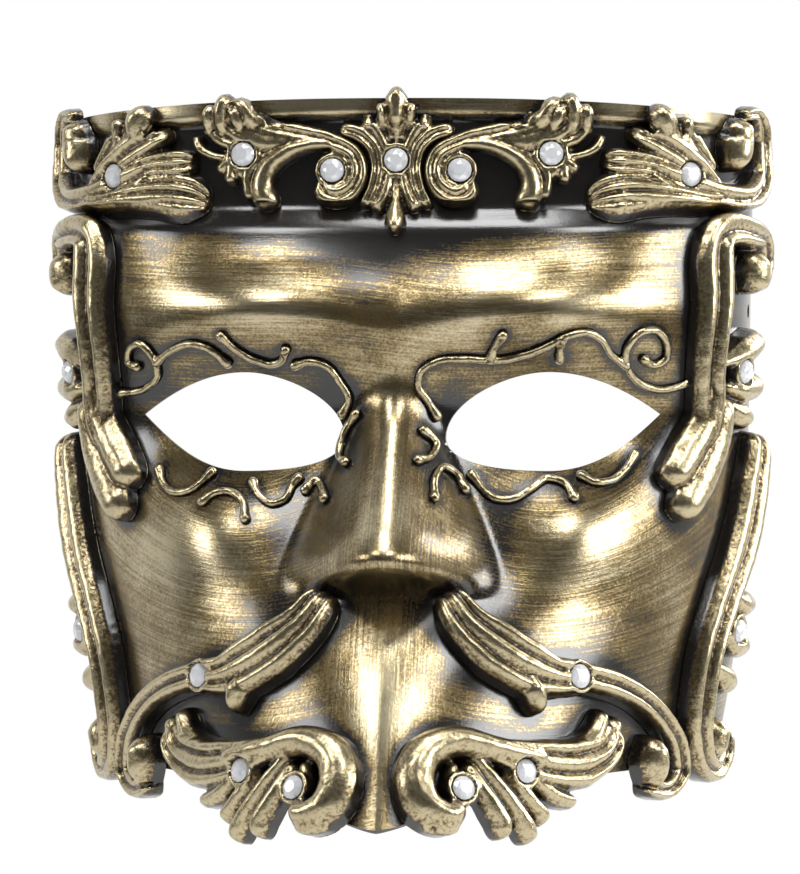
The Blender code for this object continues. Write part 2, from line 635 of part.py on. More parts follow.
def face_shell():
    """The moulded shell: an outer and an inner sheet joined round the rim, with its holes cut."""
    shape = bmesh.new()
    add_sheet(shape, shell_grid(0.0))
    add_sheet(shape, shell_grid(-WALL))
    bmesh.ops.bridge_loops(shape, edges=border(shape))
    paint = material("shell_paint", (0.42, 0.30, 0.12), 0.35, 0.8)
    piece = finish_object("face_shell", to_mesh("face_shell", shape), paint)
    cut(piece, eye_cutter("left_eye_cutter", -1.0))
    cut(piece, eye_cutter("right_eye_cutter", 1.0))
    cut(piece, band_hole_cutter())
    shade(piece, 40.0)
    return piece


def former():
    """The solid that the ornaments are moulded over: the shell's outside, run on past every edge."""
    behind = []
    for places in long_grid(SEAT_GAP):
        first = places[:1] + (0.0, FORMER_BACK, 0.0)
        last = places[-1:] + (0.0, FORMER_BACK, 0.0)
        behind.append(np.concatenate((first, places, last)))
    shape = bmesh.new()
    rows = add_sheet(shape, behind)
    for lower, upper in zip(rows, rows[1:]):
        shape.faces.new((lower[-1], lower[0], upper[0], upper[-1]))
    shape.faces.new(rows[0])
    shape.faces.new(rows[-1])
    return as_cutter("former", shape)


def rib_path(places, radii):
    """Fine points, directions and radii along a smooth line through a rib's points, on the shell."""
    lengths = np.linalg.norm(np.diff(places, axis=0), axis=1)
    knots = np.concatenate(((0.0,), np.cumsum(lengths)))
    fine = np.linspace(0.0, knots[-1], max(4, int(knots[-1] / FINE_STEP)))
    path = settle(hermite(knots, places, fine))
    directions = np.gradient(path, axis=0)
    directions = directions / np.linalg.norm(directions, axis=1)[:, None]
    on_faces = [SHELL_FACES.find_nearest(place)[0] for place in path]
    return np.array(on_faces), directions, np.interp(fine, knots, radii)


def kept_points(directions, turn, step):
    """The points of a fine path that its bends and a longest step call for."""
    kept = [0]
    for index in range(1, len(directions) - 1):
        bend = math.acos(max(-1.0, min(1.0, float(directions[index] @ directions[kept[-1]]))))
        if bend > turn or (index - kept[-1]) * FINE_STEP > step:
            kept.append(index)
    kept.append(len(directions) - 1)
    return kept


def carved_section(radius, lift, dome):
    """Half-round top on straight sides, with feet sunk into the shell."""
    top = dome * radius
    arch = []
    for turn in np.linspace(0.0, math.pi, ARCH_POINTS):
        arch.append((-radius * math.cos(turn), lift + top * math.sin(turn)))
    return [(-radius, -RIB_SINK)] + arch + [(radius, -RIB_SINK)]


def strand_section(radius, lift):
    """Flattened top on sloping sides, for the thin lines."""
    top = lift + radius
    side = STRAND_TOP * radius
    return ((-radius, -RIB_SINK), (-side, top), (side, top), (radius, -RIB_SINK))


def add_rib(shape, places, radii, section_of, turn, step):
    """Adds one rib that lies on the shell and ends in rounded noses."""
    path, directions, thickness = rib_path(places, radii)
    ups = normals(path)
    rings = [(path[0] - directions[0] * RIB_NOSE * thickness[0], 0, RIB_NOSE_SHARE)]
    for index in kept_points(directions, turn, step):
        rings.append((path[index], index, 1.0))
    rings.append((path[-1] + directions[-1] * RIB_NOSE * thickness[-1], -1, RIB_NOSE_SHARE))
    loops = []
    for centre, index, share in rings:
        across = np.cross(ups[index], directions[index])
        across = across / np.linalg.norm(across)
        loop = []
        for side, height in section_of(thickness[index] * share):
            loop.append(shape.verts.new(centre + across * side + ups[index] * height))
        loops.append(loop)
    for before, after in zip(loops, loops[1:]):
        for index in range(len(before)):
            following = (index + 1) % len(before)
            shape.faces.new((before[index], before[following], after[following], after[index]))
    shape.faces.new(loops[0])
    shape.faces.new(loops[-1])


def seat_frame(sign, anchor, knot):
    """Place and turn of a gem's seat: Z stands square on the shell."""
    place = settle(surface_points(sign, anchor, (knot,)))
    out = Vector(normals(place)[0])
    return Matrix.Translation(place[0]) @ out.to_track_quat('Z', 'Y').to_matrix().to_4x4()


def add_post(shape, frame, radius, low, high):
    """Adds a round post on a seat, between two heights over the shell."""
    middle = frame @ Matrix.Translation((0.0, 0.0, (low + high) / 2.0))
    bmesh.ops.create_cone(shape, cap_ends=True, segments=ROUND_SIDES, radius1=radius, radius2=radius,
                          depth=high - low, matrix=middle)


def gem_mesh():
    """A flat-backed round stone with a faceted crown."""
    shape = bmesh.new()
    crown = ((GEM_RADIUS, GEM_GIRDLE), (GEM_TABLE_RADIUS, GEM_HEIGHT), (0.0, GEM_HEIGHT))
    profile = ((0.0, 0.0), (GEM_RADIUS, 0.0)) + crown
    line = [shape.verts.new((across, 0.0, up)) for across, up in profile]
    edges = [shape.edges.new(pair) for pair in zip(line, line[1:])]
    bmesh.ops.spin(shape, geom=line + edges, cent=(0, 0, 0), axis=(0, 0, 1), angle=2.0 * math.pi,
                   steps=GEM_SIDES, use_merge=True)
    bmesh.ops.remove_doubles(shape, verts=shape.verts, dist=0.001)
    bmesh.ops.dissolve_limit(shape, angle_limit=math.radians(1.0), verts=shape.verts, edges=shape.edges)
    mesh_data = to_mesh("rhinestone", shape)
    mesh_data.materials.append(material("rhinestone_glass", (0.9, 0.92, 0.95), 0.05, 0.0))
    return mesh_data


def ornament(name, anchor, ribs, beds, lift, seats, kept, trim, finish, gem):
    """One carved piece: ribs on a lower bed, trimmed to the shell and pocketed for its gems."""
    shape = bmesh.new()
    for rows, height, dome in ((ribs, lift, 1.0), (beds, BED_SHARE * lift, BED_DOME)):
        for sign, knots in rows:
            add_rib(shape, surface_points(sign, anchor, knots), [knot[3] for knot in knots],
                    lambda radius: carved_section(radius, height, dome), CARVED_TURN, CARVED_STEP)
    pockets = bmesh.new()
    for number, (sign, (knot, floor)) in enumerate(seats, start=1):
        frame = seat_frame(sign, anchor, knot)
        pocket_radius = knot[3] + BEZEL_CLEARANCE
        add_post(shape, frame, pocket_radius + BEZEL_WALL, -RIB_SINK, floor + BEZEL_RISE)
        add_post(pockets, frame, pocket_radius, floor, floor + POCKET_REACH)
        stone = finish_object(name + "_gem_" + str(number), gem, None)
        lifted = frame @ Matrix.Translation((0.0, 0.0, floor + SEAT_GAP))
        stone.matrix_world = Matrix.Translation(lifted.translation * MM) @ lifted.to_3x3().to_4x4()
    piece = finish_object(name, to_mesh(name, shape), finish)
    carve(piece, kept)
    cut(piece, trim)
    cut(piece, as_cutter(name + "_pockets", pockets))
    shade(piece, 50.0)
    return piece


def one_side(sign, rows):
    return [(sign, row) for row in rows]


def carved_ornaments(trim, gem):
    """The palmette in the middle, and every other carved piece once on each side."""
    gold = material("carved_gold", (0.62, 0.44, 0.16), 0.32, 0.9)
    leaves = one_side(1.0, PALMETTE_BEADS + PALMETTE_LEAVES) + one_side(-1.0, PALMETTE_LEAVES)
    ornament("top_palmette", (0.0, TOP_EDGE), leaves, one_side(1.0, PALMETTE_BEDS), PALMETTE_LIFT,
             one_side(1.0, PALMETTE_SEATS), 0.03, trim, gold, gem)
    corner = (HALF_WIDTH, TOP_EDGE)
    temple = (HALF_WIDTH, 0.0)
    brow = (0.0, TOP_EDGE)
    lip = (0.0, NOSE_BASE)
    chin = (0.0, BOTTOM_EDGE)
    pairs = (
        ("acanthus_scroll", brow, ACANTHUS_RIBS, ACANTHUS_BEDS, ACANTHUS_LIFT, ACANTHUS_SEATS, 0.023),
        ("corner_leaf", corner, CORNER_RIBS, CORNER_BEDS, CORNER_LIFT, CORNER_SEATS, 0.0125),
        ("upper_side_scroll", temple, UPPER_SIDE_RIBS, UPPER_SIDE_BEDS, SIDE_LIFT, UPPER_SIDE_SEATS, 0.0079),
        ("lower_side_scroll", temple, LOWER_SIDE_RIBS, LOWER_SIDE_BEDS, SIDE_LIFT, LOWER_SIDE_SEATS, 0.0062),
        ("moustache_leaf", lip, MOUSTACHE_RIBS, MOUSTACHE_BEDS, MOUSTACHE_LIFT, MOUSTACHE_SEATS, 0.008),
        ("beard_scroll", chin, BEARD_RIBS, BEARD_BEDS, BEARD_LIFT, BEARD_SEATS, 0.0098),
    )
    for side, sign in (("left", -1.0), ("right", 1.0)):
        for kind, anchor, ribs, beds, lift, seats, kept in pairs:
            ornament(side + "_" + kind, anchor, one_side(sign, ribs), one_side(sign, beds), lift,
                     one_side(sign, seats), kept, trim, gold, gem)


def filigree(trim):
    """Thin squeezed lines round the eyes, each a strand of its own."""
    line_gold = material("filigree_gold", (0.66, 0.48, 0.2), 0.35, 0.9)
    for side, sign, strands in (("left", -1.0, LEFT_FILIGREE), ("right", 1.0, RIGHT_FILIGREE)):
        for number, lines in enumerate(strands, start=1):
            shape = bmesh.new()
            for line in lines:
                knots = [fore(across, up, FILIGREE_RADIUS) for across, up in line]
                places = surface_points(sign, (EYE_ACROSS, 0.0), knots)
                add_rib(shape, places, [FILIGREE_RADIUS] * len(line),
                        lambda radius: strand_section(radius, FILIGREE_LIFT), STRAND_TURN, STRAND_STEP)
            name = side + "_filigree_" + str(number)
            strand = finish_object(name, to_mesh(name, shape), line_gold)
            cut(strand, trim, joins_itself=True)
            shade(strand, 50.0)


for leftover in list(bpy.data.objects):
    bpy.data.objects.remove(leftover, do_unlink=True)
SHELL_FACES = shell_faces()
face_shell()
mould = former()
carved_ornaments(mould, gem_mesh())
filigree(mould)
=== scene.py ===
"""Looks of a venetian masquerade mask: antique gold dry-brushed over black, with carved scrolls and stones.

Shapes are worked out in millimetres and scaled to metres when a mesh is finished. The mask faces -Y.
"""

import math

import bmesh
import bpy
import numpy as np
from mathutils import Matrix, Vector, noise
from mathutils.kdtree import KDTree


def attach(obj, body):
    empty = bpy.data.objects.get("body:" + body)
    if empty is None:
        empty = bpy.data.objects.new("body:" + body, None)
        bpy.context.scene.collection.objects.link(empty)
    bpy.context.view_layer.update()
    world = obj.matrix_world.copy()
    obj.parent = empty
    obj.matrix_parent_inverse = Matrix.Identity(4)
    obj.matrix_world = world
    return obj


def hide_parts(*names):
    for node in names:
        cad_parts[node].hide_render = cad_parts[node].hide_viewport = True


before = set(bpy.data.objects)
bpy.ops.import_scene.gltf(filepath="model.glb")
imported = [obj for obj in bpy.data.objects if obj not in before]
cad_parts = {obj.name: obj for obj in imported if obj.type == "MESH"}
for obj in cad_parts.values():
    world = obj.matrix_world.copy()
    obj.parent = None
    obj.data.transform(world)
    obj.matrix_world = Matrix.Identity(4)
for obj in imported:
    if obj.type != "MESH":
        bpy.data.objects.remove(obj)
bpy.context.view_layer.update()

# Face shell
# One sheet of plastic, drawn over a mould, with two eye holes and two holes for a band. It is lacquered
# black on both sides, and its outside is then dry-brushed with antique gold that misses the recesses. How
# much gold shows also holds painted highlights and painted shade.
MM = 0.001
HALF_WIDTH = 86.5
CHIN_HALF_WIDTH = 74.0
TOP_EDGE = 82.0
TOP_DROP = 4.0
BOTTOM_EDGE = -99.25
BOTTOM_RISE = 14.0
BOTTOM_RISE_SPREAD = 38.0
WALL = 2.2
JAW_UP = -60.0
STATIONS = (
    (BOTTOM_EDGE, CHIN_HALF_WIDTH, 104.0, 1.5),
    (JAW_UP, HALF_WIDTH - 5.0, 86.0, 1.6),
    (-30.0, HALF_WIDTH - 2.0, 66.0, 1.9),
    (0.0, HALF_WIDTH - 1.0, 56.0, 2.2),
    (30.0, HALF_WIDTH - 0.5, 58.0, 2.4),
    (55.0, HALF_WIDTH, 52.0, 2.5),
    (TOP_EDGE, HALF_WIDTH, 50.0, 2.5),
)
NOSE_TIP = -30.0
NOSE_BASE = -43.0
NOSE_BRIDGE = 11.0
NOSE_HEIGHT = 25.0
NOSE_HALF_WIDTH = 28.5
NOSE_NARROWING = 18.0
NOSE_ROUNDNESS = 1.6
NOSE_PROFILE = (
    (-1.0, 0.0), (-0.8, 0.33), (-0.6, 0.66), (-0.4, 0.88), (-0.2, 0.975), (0.0, 0.97), (0.05, 0.945),
    (0.15, 0.855), (0.3, 0.71), (0.6, 0.43), (0.8, 0.235), (0.95, 0.09), (1.08, 0.02), (1.2, 0.0),
)
HEADER_FOOT = 52.0
HEADER_STEP = 7.0
HEADER_DEPTH = 3.0
LIP_WIDTH = 4.5
LIP_STEP = 3.0
LIP_RISE = 2.2
EYE_ACROSS = 38.25
EYE_ARC_POINTS = 24
EYE_CUT_FRONT = -95.0
EYE_CUT_LENGTH = 90.0
BAND_HOLE_RADIUS = 1.75
BAND_HOLE_DEEP = 6.5
BAND_HOLE_UP = 29.0
BAND_HOLE_OVERRUN = 10.0
RELIEF_FADE = 16.0
SHELL_COLUMNS = 210
SHELL_ROWS = 180
SHARP_EDGE = math.radians(45.0)
# Height of each hill of the face, or depth of the eye socket, with its place across and up and its spread.
BROW = (6.0, 33.0, 29.0, (26.0, 10.0))
FROWN = (4.0, 0.0, 24.0, (16.0, 12.0))
SOCKET = (9.0, EYE_ACROSS + 2.0, 1.0, (25.0, 13.0))
CHEEK = (5.0, 48.0, -28.0, (16.0, 14.0))


def hermite(knots, values, places):
    """Smooth curve through values at rising knots, read at the given places."""
    knots = np.asarray(knots, dtype=float)
    values = np.asarray(values, dtype=float)
    slopes = np.gradient(values, knots, axis=0)
    places = np.clip(np.asarray(places, dtype=float), knots[0], knots[-1])
    index = np.clip(np.searchsorted(knots, places, side="right") - 1, 0, len(knots) - 2)
    step = knots[index + 1] - knots[index]
    share = (places - knots[index]) / step
    if values.ndim > 1:
        step = step[..., None]
        share = share[..., None]
    rest = 1.0 - share
    before = values[index] * (1.0 + 2.0 * share) * rest ** 2
    after = values[index + 1] * (3.0 - 2.0 * share) * share ** 2
    lean = slopes[index] * share * rest ** 2 - slopes[index + 1] * share ** 2 * rest
    return before + after + lean * step


def station(up, column):
    """Half width (1), depth (2) or roundness (3) of the shell's cross-section at a height."""
    return hermite([row[0] for row in STATIONS], [row[column] for row in STATIONS], up)


def smoothstep(low, high, value):
    share = np.clip((value - low) / (high - low), 0.0, 1.0)
    return share * share * (3.0 - 2.0 * share)


def hill(across, up, spread):
    """A smooth rise, one high in its middle."""
    return np.exp(-(across / spread[0]) ** 2 - (up / spread[1]) ** 2)


def bulge(side, up, height, middle, high, spread):
    """One hill with its own height, place and spread, the same on both sides of the face."""
    return height * hill(side - middle, up - high, spread)


def nose(across, up):
    """Height of the nose over the face: a round ridge that widens and grows towards the tip."""
    ridge = NOSE_BRIDGE - NOSE_TIP
    below = NOSE_TIP - NOSE_BASE
    heights = [NOSE_TIP + run * (ridge if run > 0.0 else below) for run, _ in NOSE_PROFILE]
    profile = np.clip(hermite(heights, [share for _, share in NOSE_PROFILE], up), 0.0, None)
    half = NOSE_HALF_WIDTH - NOSE_NARROWING * smoothstep(NOSE_BASE, NOSE_BRIDGE, up)
    share = np.clip(np.abs(across) / half, 0.0, 1.0)
    return NOSE_HEIGHT * profile * np.cos(0.5 * math.pi * share) ** NOSE_ROUNDNESS


def lip_foot(side):
    """Height of the lower edge of the rolled lip, which follows the top edge."""
    return TOP_EDGE - TOP_DROP * (side / HALF_WIDTH) ** 2 - LIP_WIDTH


def relief(across, up):
    """How far the face stands in front of the plain cross-section."""
    side = np.abs(across)
    brow, frown, socket, cheek = (bulge(side, up, *row) for row in (BROW, FROWN, SOCKET, CHEEK))
    header = HEADER_DEPTH * smoothstep(-HEADER_STEP / 2.0, HEADER_STEP / 2.0, up - HEADER_FOOT)
    lip = LIP_RISE * (1.0 - smoothstep(-LIP_STEP / 2.0, LIP_STEP / 2.0, lip_foot(side) - up))
    return brow + frown - socket + cheek + nose(across, up) - header + lip


def plain_depth(across, up):
    roundness = station(up, 3)
    share = np.clip(np.abs(across) / station(up, 1), 0.0, 1.0)
    return station(up, 2) * (1.0 - share ** roundness) ** (1.0 / roundness)


def face(across, up):
    """Relief of the face, faded out where the side walls run back to the rim."""
    return relief(across, up) * smoothstep(0.0, RELIEF_FADE, plain_depth(across, up))


def leaning(row, share):
    """A row's height towards the sides: rows near the edges lean over to follow them."""
    high = HEADER_FOOT + HEADER_STEP / 2.0
    rise = BOTTOM_RISE * (1.0 - np.exp(-(share * CHIN_HALF_WIDTH / BOTTOM_RISE_SPREAD) ** 2))
    lower = JAW_UP + (row - JAW_UP) / (BOTTOM_EDGE - JAW_UP) * (BOTTOM_EDGE + rise - JAW_UP)
    upper = high + (row - high) / (TOP_EDGE - high) * (TOP_EDGE - TOP_DROP * share ** 2 - high)
    return np.where(row < JAW_UP, lower, np.where(row > high, upper, row))


def coordinates(mesh):
    places = np.empty(len(mesh.vertices) * 3)
    mesh.vertices.foreach_get("co", places)
    return places.reshape(-1, 3)


def baked(piece):
    """The piece's mesh with its modifiers applied. The piece itself is removed."""
    depsgraph = bpy.context.evaluated_depsgraph_get()
    mesh = bpy.data.meshes.new_from_object(piece.evaluated_get(depsgraph))
    bpy.data.objects.remove(piece, do_unlink=True)
    return mesh


def loose_object(name, data):
    piece = bpy.data.objects.new(name, data)
    bpy.context.scene.collection.objects.link(piece)
    return piece


def bmesh_object(name, shape):
    mesh = bpy.data.meshes.new(name)
    shape.to_mesh(mesh)
    shape.free()
    return loose_object(name, mesh)


def paint_mask(mesh, name, values):
    """Keeps one number for each point of a mesh, for its material."""
    mask = mesh.attributes.new(name, 'FLOAT', 'POINT')
    mask.data.foreach_set("value", np.clip(values, 0.0, 1.0).astype(np.float32))


def paint_places(mesh, name, columns):
    """Keeps a place in the brush's own directions for each point of a mesh, in metres."""
    field = mesh.attributes.new(name, 'FLOAT_VECTOR', 'POINT')
    field.data.foreach_set("vector", (MM * np.stack(columns, axis=1)).astype(np.float32).ravel())


def dressed(name, mesh, finishes, nodes):
    """A finished piece in metres, which stands for CAD nodes and rides on the mask."""
    mesh.transform(Matrix.Scale(MM, 4))
    sides = np.empty(len(mesh.polygons), dtype=np.int32)
    mesh.polygons.foreach_get("material_index", sides)
    mesh.materials.clear()
    for finish in finishes:
        mesh.materials.append(finish)
    mesh.polygons.foreach_set("material_index", sides)
    piece = loose_object(name, mesh)
    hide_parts(*nodes)
    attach(piece, "root")
    return piece


def eye_cutter(sign):
    """A straight prism through the shell, in the shape of one eye hole."""
    outer = (27.0, 2.75)
    top = (0.0, 13.25)
    inner = (-25.5, -3.0)
    bottom = (0.0, -11.5)
    arcs = (
        (outer, (19.2, 8.7), (10.3, 13.25), top),
        (top, (-10.2, 13.25), (-25.5, 6.0), inner),
        (inner, (-25.5, -8.5), (-16.3, -11.5), bottom),
        (bottom, (11.9, -11.5), (19.7, -4.5), outer),
    )
    shape = bmesh.new()
    loop = []
    for corners in arcs:
        for share in np.arange(EYE_ARC_POINTS) / EYE_ARC_POINTS:
            rest = 1.0 - share
            weights = np.array((rest ** 3, 3.0 * rest ** 2 * share, 3.0 * rest * share ** 2, share ** 3))
            across, up = weights @ np.array(corners)
            loop.append(shape.verts.new((sign * (EYE_ACROSS + across), EYE_CUT_FRONT, up)))
    lid = shape.faces.new(loop)
    pulled = bmesh.ops.extrude_face_region(shape, geom=[lid])
    moved = [item for item in pulled["geom"] if isinstance(item, bmesh.types.BMVert)]
    bmesh.ops.translate(shape, vec=(0.0, EYE_CUT_LENGTH, 0.0), verts=moved)
    bmesh.ops.recalc_face_normals(shape, faces=shape.faces)
    return bmesh_object("eye_cutter", shape)


def band_hole_cutter():
    """A bar from side to side, which makes the hole for the band in both side walls."""
    shape = bmesh.new()
    turned = Matrix.Rotation(math.pi / 2.0, 4, 'Y')
    bmesh.ops.create_cone(shape, cap_ends=True, segments=32,
                          radius1=BAND_HOLE_RADIUS, radius2=BAND_HOLE_RADIUS,
                          depth=2.0 * (HALF_WIDTH + BAND_HOLE_OVERRUN),
                          matrix=Matrix.Translation((0.0, -BAND_HOLE_DEEP, BAND_HOLE_UP)) @ turned)
    return bmesh_object("band_hole_cutter", shape)


def shell_mesh():
    """A fine grid bent over the face, given its wall and cut through."""
    shape = bmesh.new()
    bmesh.ops.create_grid(shape, x_segments=SHELL_COLUMNS, y_segments=SHELL_ROWS, size=1.0)
    flat = np.array([vert.co[:2] for vert in shape.verts])
    turn = flat[:, 0] * math.pi / 2.0
    row = BOTTOM_EDGE + (flat[:, 1] + 1.0) / 2.0 * (TOP_EDGE - BOTTOM_EDGE)
    up = leaning(row, np.abs(np.sin(turn)))
    power = 2.0 / station(up, 3)
    across = station(up, 1) * np.sign(turn) * np.abs(np.sin(turn)) ** power
    deep = station(up, 2) * np.abs(np.cos(turn)) ** power
    deep = np.where(np.abs(flat[:, 0]) > 0.999, 0.0, deep)  # The rim lies exactly in its plane.
    deep = deep + relief(across, up) * smoothstep(0.0, RELIEF_FADE, deep)
    for vert, place in zip(shape.verts, np.stack((across, -deep, up), axis=1)):
        vert.co = place
    sheet = bmesh_object("shell_sheet", shape)
    wall = sheet.modifiers.new("wall", 'SOLIDIFY')
    wall.thickness = WALL
    wall.offset = -1.0
    wall.material_offset = 1
    wall.material_offset_rim = 1
    cutters = (eye_cutter(-1.0), eye_cutter(1.0), band_hole_cutter())
    for cutter in cutters:
        cut = sheet.modifiers.new("cut", 'BOOLEAN')
        cut.operation = 'DIFFERENCE'
        cut.solver = 'EXACT'
        cut.object = cutter
    sheet.data.materials.append(None)
    sheet.data.materials.append(None)
    mesh = baked(sheet)
    for cutter in cutters:
        bpy.data.objects.remove(cutter, do_unlink=True)
    mesh.shade_smooth()
    mesh.set_sharp_from_angle(angle=SHARP_EDGE)
    return mesh


def add(tree, kind, sockets, **settings):
    """Adds a shader node. A socket takes a plain value or another node's output."""
    made = tree.nodes.new("ShaderNode" + kind)
    for name, value in settings.items():
        setattr(made, name, value)
    for name, value in sockets.items():
        if isinstance(value, bpy.types.NodeSocket):
            tree.links.new(value, made.inputs[name])
        else:
            made.inputs[name].default_value = value
    return made


def arithmetic(tree, operation, first, second):
    return add(tree, "Math", {0: first, 1: second}, operation=operation).outputs[0]


def ramp(tree, value, low, high, bottom=0.0, top=1.0):
    """A value turned smoothly from one range into another."""
    sockets = {"Value": value, "From Min": low, "From Max": high, "To Min": bottom, "To Max": top}
    return add(tree, "MapRange", sockets, interpolation_type='SMOOTHSTEP').outputs[0]


def blend_colours(tree, share, first, second):
    return add(tree, "Mix", {0: share, 6: first, 7: second}, data_type='RGBA').outputs[2]


def blend_values(tree, share, first, second):
    return add(tree, "Mix", {0: share, 2: first, 3: second}).outputs[0]


def new_group(name, inputs, outputs):
    """An empty node group, with its input and output nodes."""
    tree = bpy.data.node_groups.new(name, "ShaderNodeTree")
    for label, kind in inputs:
        tree.interface.new_socket(label, in_out='INPUT', socket_type="NodeSocket" + kind)
    for label, kind in outputs:
        tree.interface.new_socket(label, in_out='OUTPUT', socket_type="NodeSocket" + kind)
    return tree, tree.nodes.new("NodeGroupInput").outputs, tree.nodes.new("NodeGroupOutput").inputs


def mottle(tree, place, scale, detail, roughness=0.5):
    """Cloudy noise at a place, as one value."""
    sockets = {"Vector": place, "Scale": scale, "Detail": detail, "Roughness": roughness}
    return add(tree, "TexNoise", sockets).outputs[0]


def object_place(tree):
    return add(tree, "TexCoord", {}).outputs["Object"]


def stretched(tree, place, scale):
    return add(tree, "VectorMath", {0: place, 1: scale}, operation='MULTIPLY').outputs[0]


LACQUER_BLACK = (0.008, 0.007, 0.006, 1.0)
LACQUER_ROUGHNESS = 0.18
GOLD_ROUGHNESS = 0.27
COAT_WEIGHT = 0.4
COAT_ROUGHNESS = 0.14
GRAIN_DEPTH = 0.0003
PAINT_TAKES = (0.25, 0.6)
PAINT_SHINES = (0.45, 1.0)
BRUSH_HAIRS = (70.0, 2200.0, 2200.0)
BRUSH_STROKE = (0.35, 0.12, 0.12)


def antique_gold_group():
    """Gold paint dry-brushed over black lacquer: how much is left, and what it looks like there."""
    inputs = (("Cover", "Float"), ("Grain", "Float"), ("Spread", "Float"),
              ("Gold", "Color"), ("Umber", "Color"), ("Black", "Color"))
    outputs = (("Colour", "Color"), ("Metal", "Float"), ("Rough", "Float"))
    tree, given, result = new_group("antique_gold", inputs, outputs)
    swing = arithmetic(tree, 'MULTIPLY', arithmetic(tree, 'SUBTRACT', given["Grain"], 0.5), given["Spread"])
    left = arithmetic(tree, 'ADD', given["Cover"], swing)
    paint = ramp(tree, left, *PAINT_TAKES)
    bright = ramp(tree, left, *PAINT_SHINES)
    gold = blend_colours(tree, bright, given["Umber"], given["Gold"])
    tree.links.new(blend_colours(tree, paint, given["Black"], gold), result["Colour"])
    tree.links.new(paint, result["Metal"])
    tree.links.new(blend_values(tree, paint, LACQUER_ROUGHNESS, GOLD_ROUGHNESS), result["Rough"])
    return tree


def brush_marks_group():
    """Fine streaks of a nearly dry brush along a place's first axis, broken up by the paint's grain."""
    inputs = (("Place", "Vector"),)
    outputs = (("Mark", "Float"), ("Hair", "Float"))
    tree, given, result = new_group("brush_marks", inputs, outputs)
    drawn = stretched(tree, given["Place"], BRUSH_HAIRS)
    hair = mottle(tree, drawn, 1.0, 3.0, 0.6)
    stroke = mottle(tree, stretched(tree, drawn, BRUSH_STROKE), 1.0, 5.0, 0.65)
    grit = mottle(tree, object_place(tree), 1500.0, 3.0, 0.7)
    fine = blend_values(tree, 0.5, hair, grit)
    tree.links.new(ramp(tree, blend_values(tree, 0.27, fine, stroke), 0.32, 0.68), result["Mark"])
    tree.links.new(fine, result["Hair"])
    return tree


ANTIQUE_GOLD = antique_gold_group()
BRUSH_MARKS = brush_marks_group()


def new_material(name):
    finish = bpy.data.materials.new(name)
    finish.use_nodes = True
    return finish, finish.node_tree, finish.node_tree.nodes["Principled BSDF"]


def use_group(tree, group, sockets):
    return add(tree, "Group", sockets, node_tree=group).outputs


def mask(tree, name):
    return add(tree, "Attribute", {}, attribute_name=name).outputs["Fac"]


def strokes(tree, name):
    """Brush marks along the direction that a mesh keeps under a name."""
    place = add(tree, "Attribute", {}, attribute_name=name).outputs["Vector"]
    return use_group(tree, BRUSH_MARKS, {"Place": place})


def gild(tree, shader, sockets):
    """Lays the antique gold on a shader, under a clear coat."""
    outputs = use_group(tree, ANTIQUE_GOLD, {"Black": LACQUER_BLACK, **sockets})
    tree.links.new(outputs["Colour"], shader.inputs["Base Color"])
    tree.links.new(outputs["Metal"], shader.inputs["Metallic"])
    tree.links.new(outputs["Rough"], shader.inputs["Roughness"])
    shader.inputs["Coat Weight"].default_value = COAT_WEIGHT
    shader.inputs["Coat Roughness"].default_value = COAT_ROUGHNESS


def raise_grain(tree, shader, height, strength):
    """Lets a value stand out of a surface as a fine grain."""
    bump = add(tree, "Bump", {"Strength": strength, "Distance": GRAIN_DEPTH, "Height": height})
    tree.links.new(bump.outputs[0], shader.inputs["Normal"])


SHELL_GOLD = (0.5, 0.435, 0.285, 1.0)
SHELL_UMBER = (0.17, 0.12, 0.045, 1.0)
INSIDE_DARK = (0.012, 0.011, 0.010, 1.0)
INSIDE_PALE = (0.022, 0.021, 0.020, 1.0)


def shell_paint():
    """Brushed antique gold on the outside of the shell, black where it pooled or was never brushed. Its
    cover also carries painted highlights and painted shade from the face's hills.
    """
    finish, tree, shader = new_material("shell_paint")
    level_marks, round_marks, upright_marks = (
        strokes(tree, name) for name in ("level_stroke", "round_stroke", "upright_stroke"))
    on_cheek = mask(tree, "on_cheek")
    upright = mask(tree, "upright")
    grain, hair = (
        blend_values(tree, upright, blend_values(tree, on_cheek, level_marks[kind], round_marks[kind]),
                     upright_marks[kind])
        for kind in ("Mark", "Hair"))
    cloud = mottle(tree, object_place(tree), 45.0, 4.0, 0.55)
    # The gold cover read here holds painted highlights and painted shade as well as the brushed gold.
    gold_and_painted_light = arithmetic(tree, 'ADD', mask(tree, "gold_and_painted_light"), ramp(tree, cloud, 0.3, 0.7, -0.2, 0.1))
    cover = arithmetic(tree, 'SUBTRACT', gold_and_painted_light, mask(tree, "pooling"))
    gild(tree, shader, {"Cover": cover, "Grain": grain, "Spread": 0.5,
                        "Gold": SHELL_GOLD, "Umber": SHELL_UMBER})
    raise_grain(tree, shader, hair, 0.22)
    return finish


def inside_lacquer():
    """Satin black on the inside of the shell, with the faint orange peel of a sprayed coat."""
    finish, tree, shader = new_material("inside_lacquer")
    place = object_place(tree)
    cloud = mottle(tree, place, 30.0, 4.0)
    tree.links.new(ramp(tree, cloud, 0.3, 0.7, 0.38, 0.55), shader.inputs["Roughness"])
    tree.links.new(blend_colours(tree, cloud, INSIDE_DARK, INSIDE_PALE), shader.inputs["Base Color"])
    raise_grain(tree, shader, mottle(tree, place, 420.0, 2.0), 0.2)
    return finish
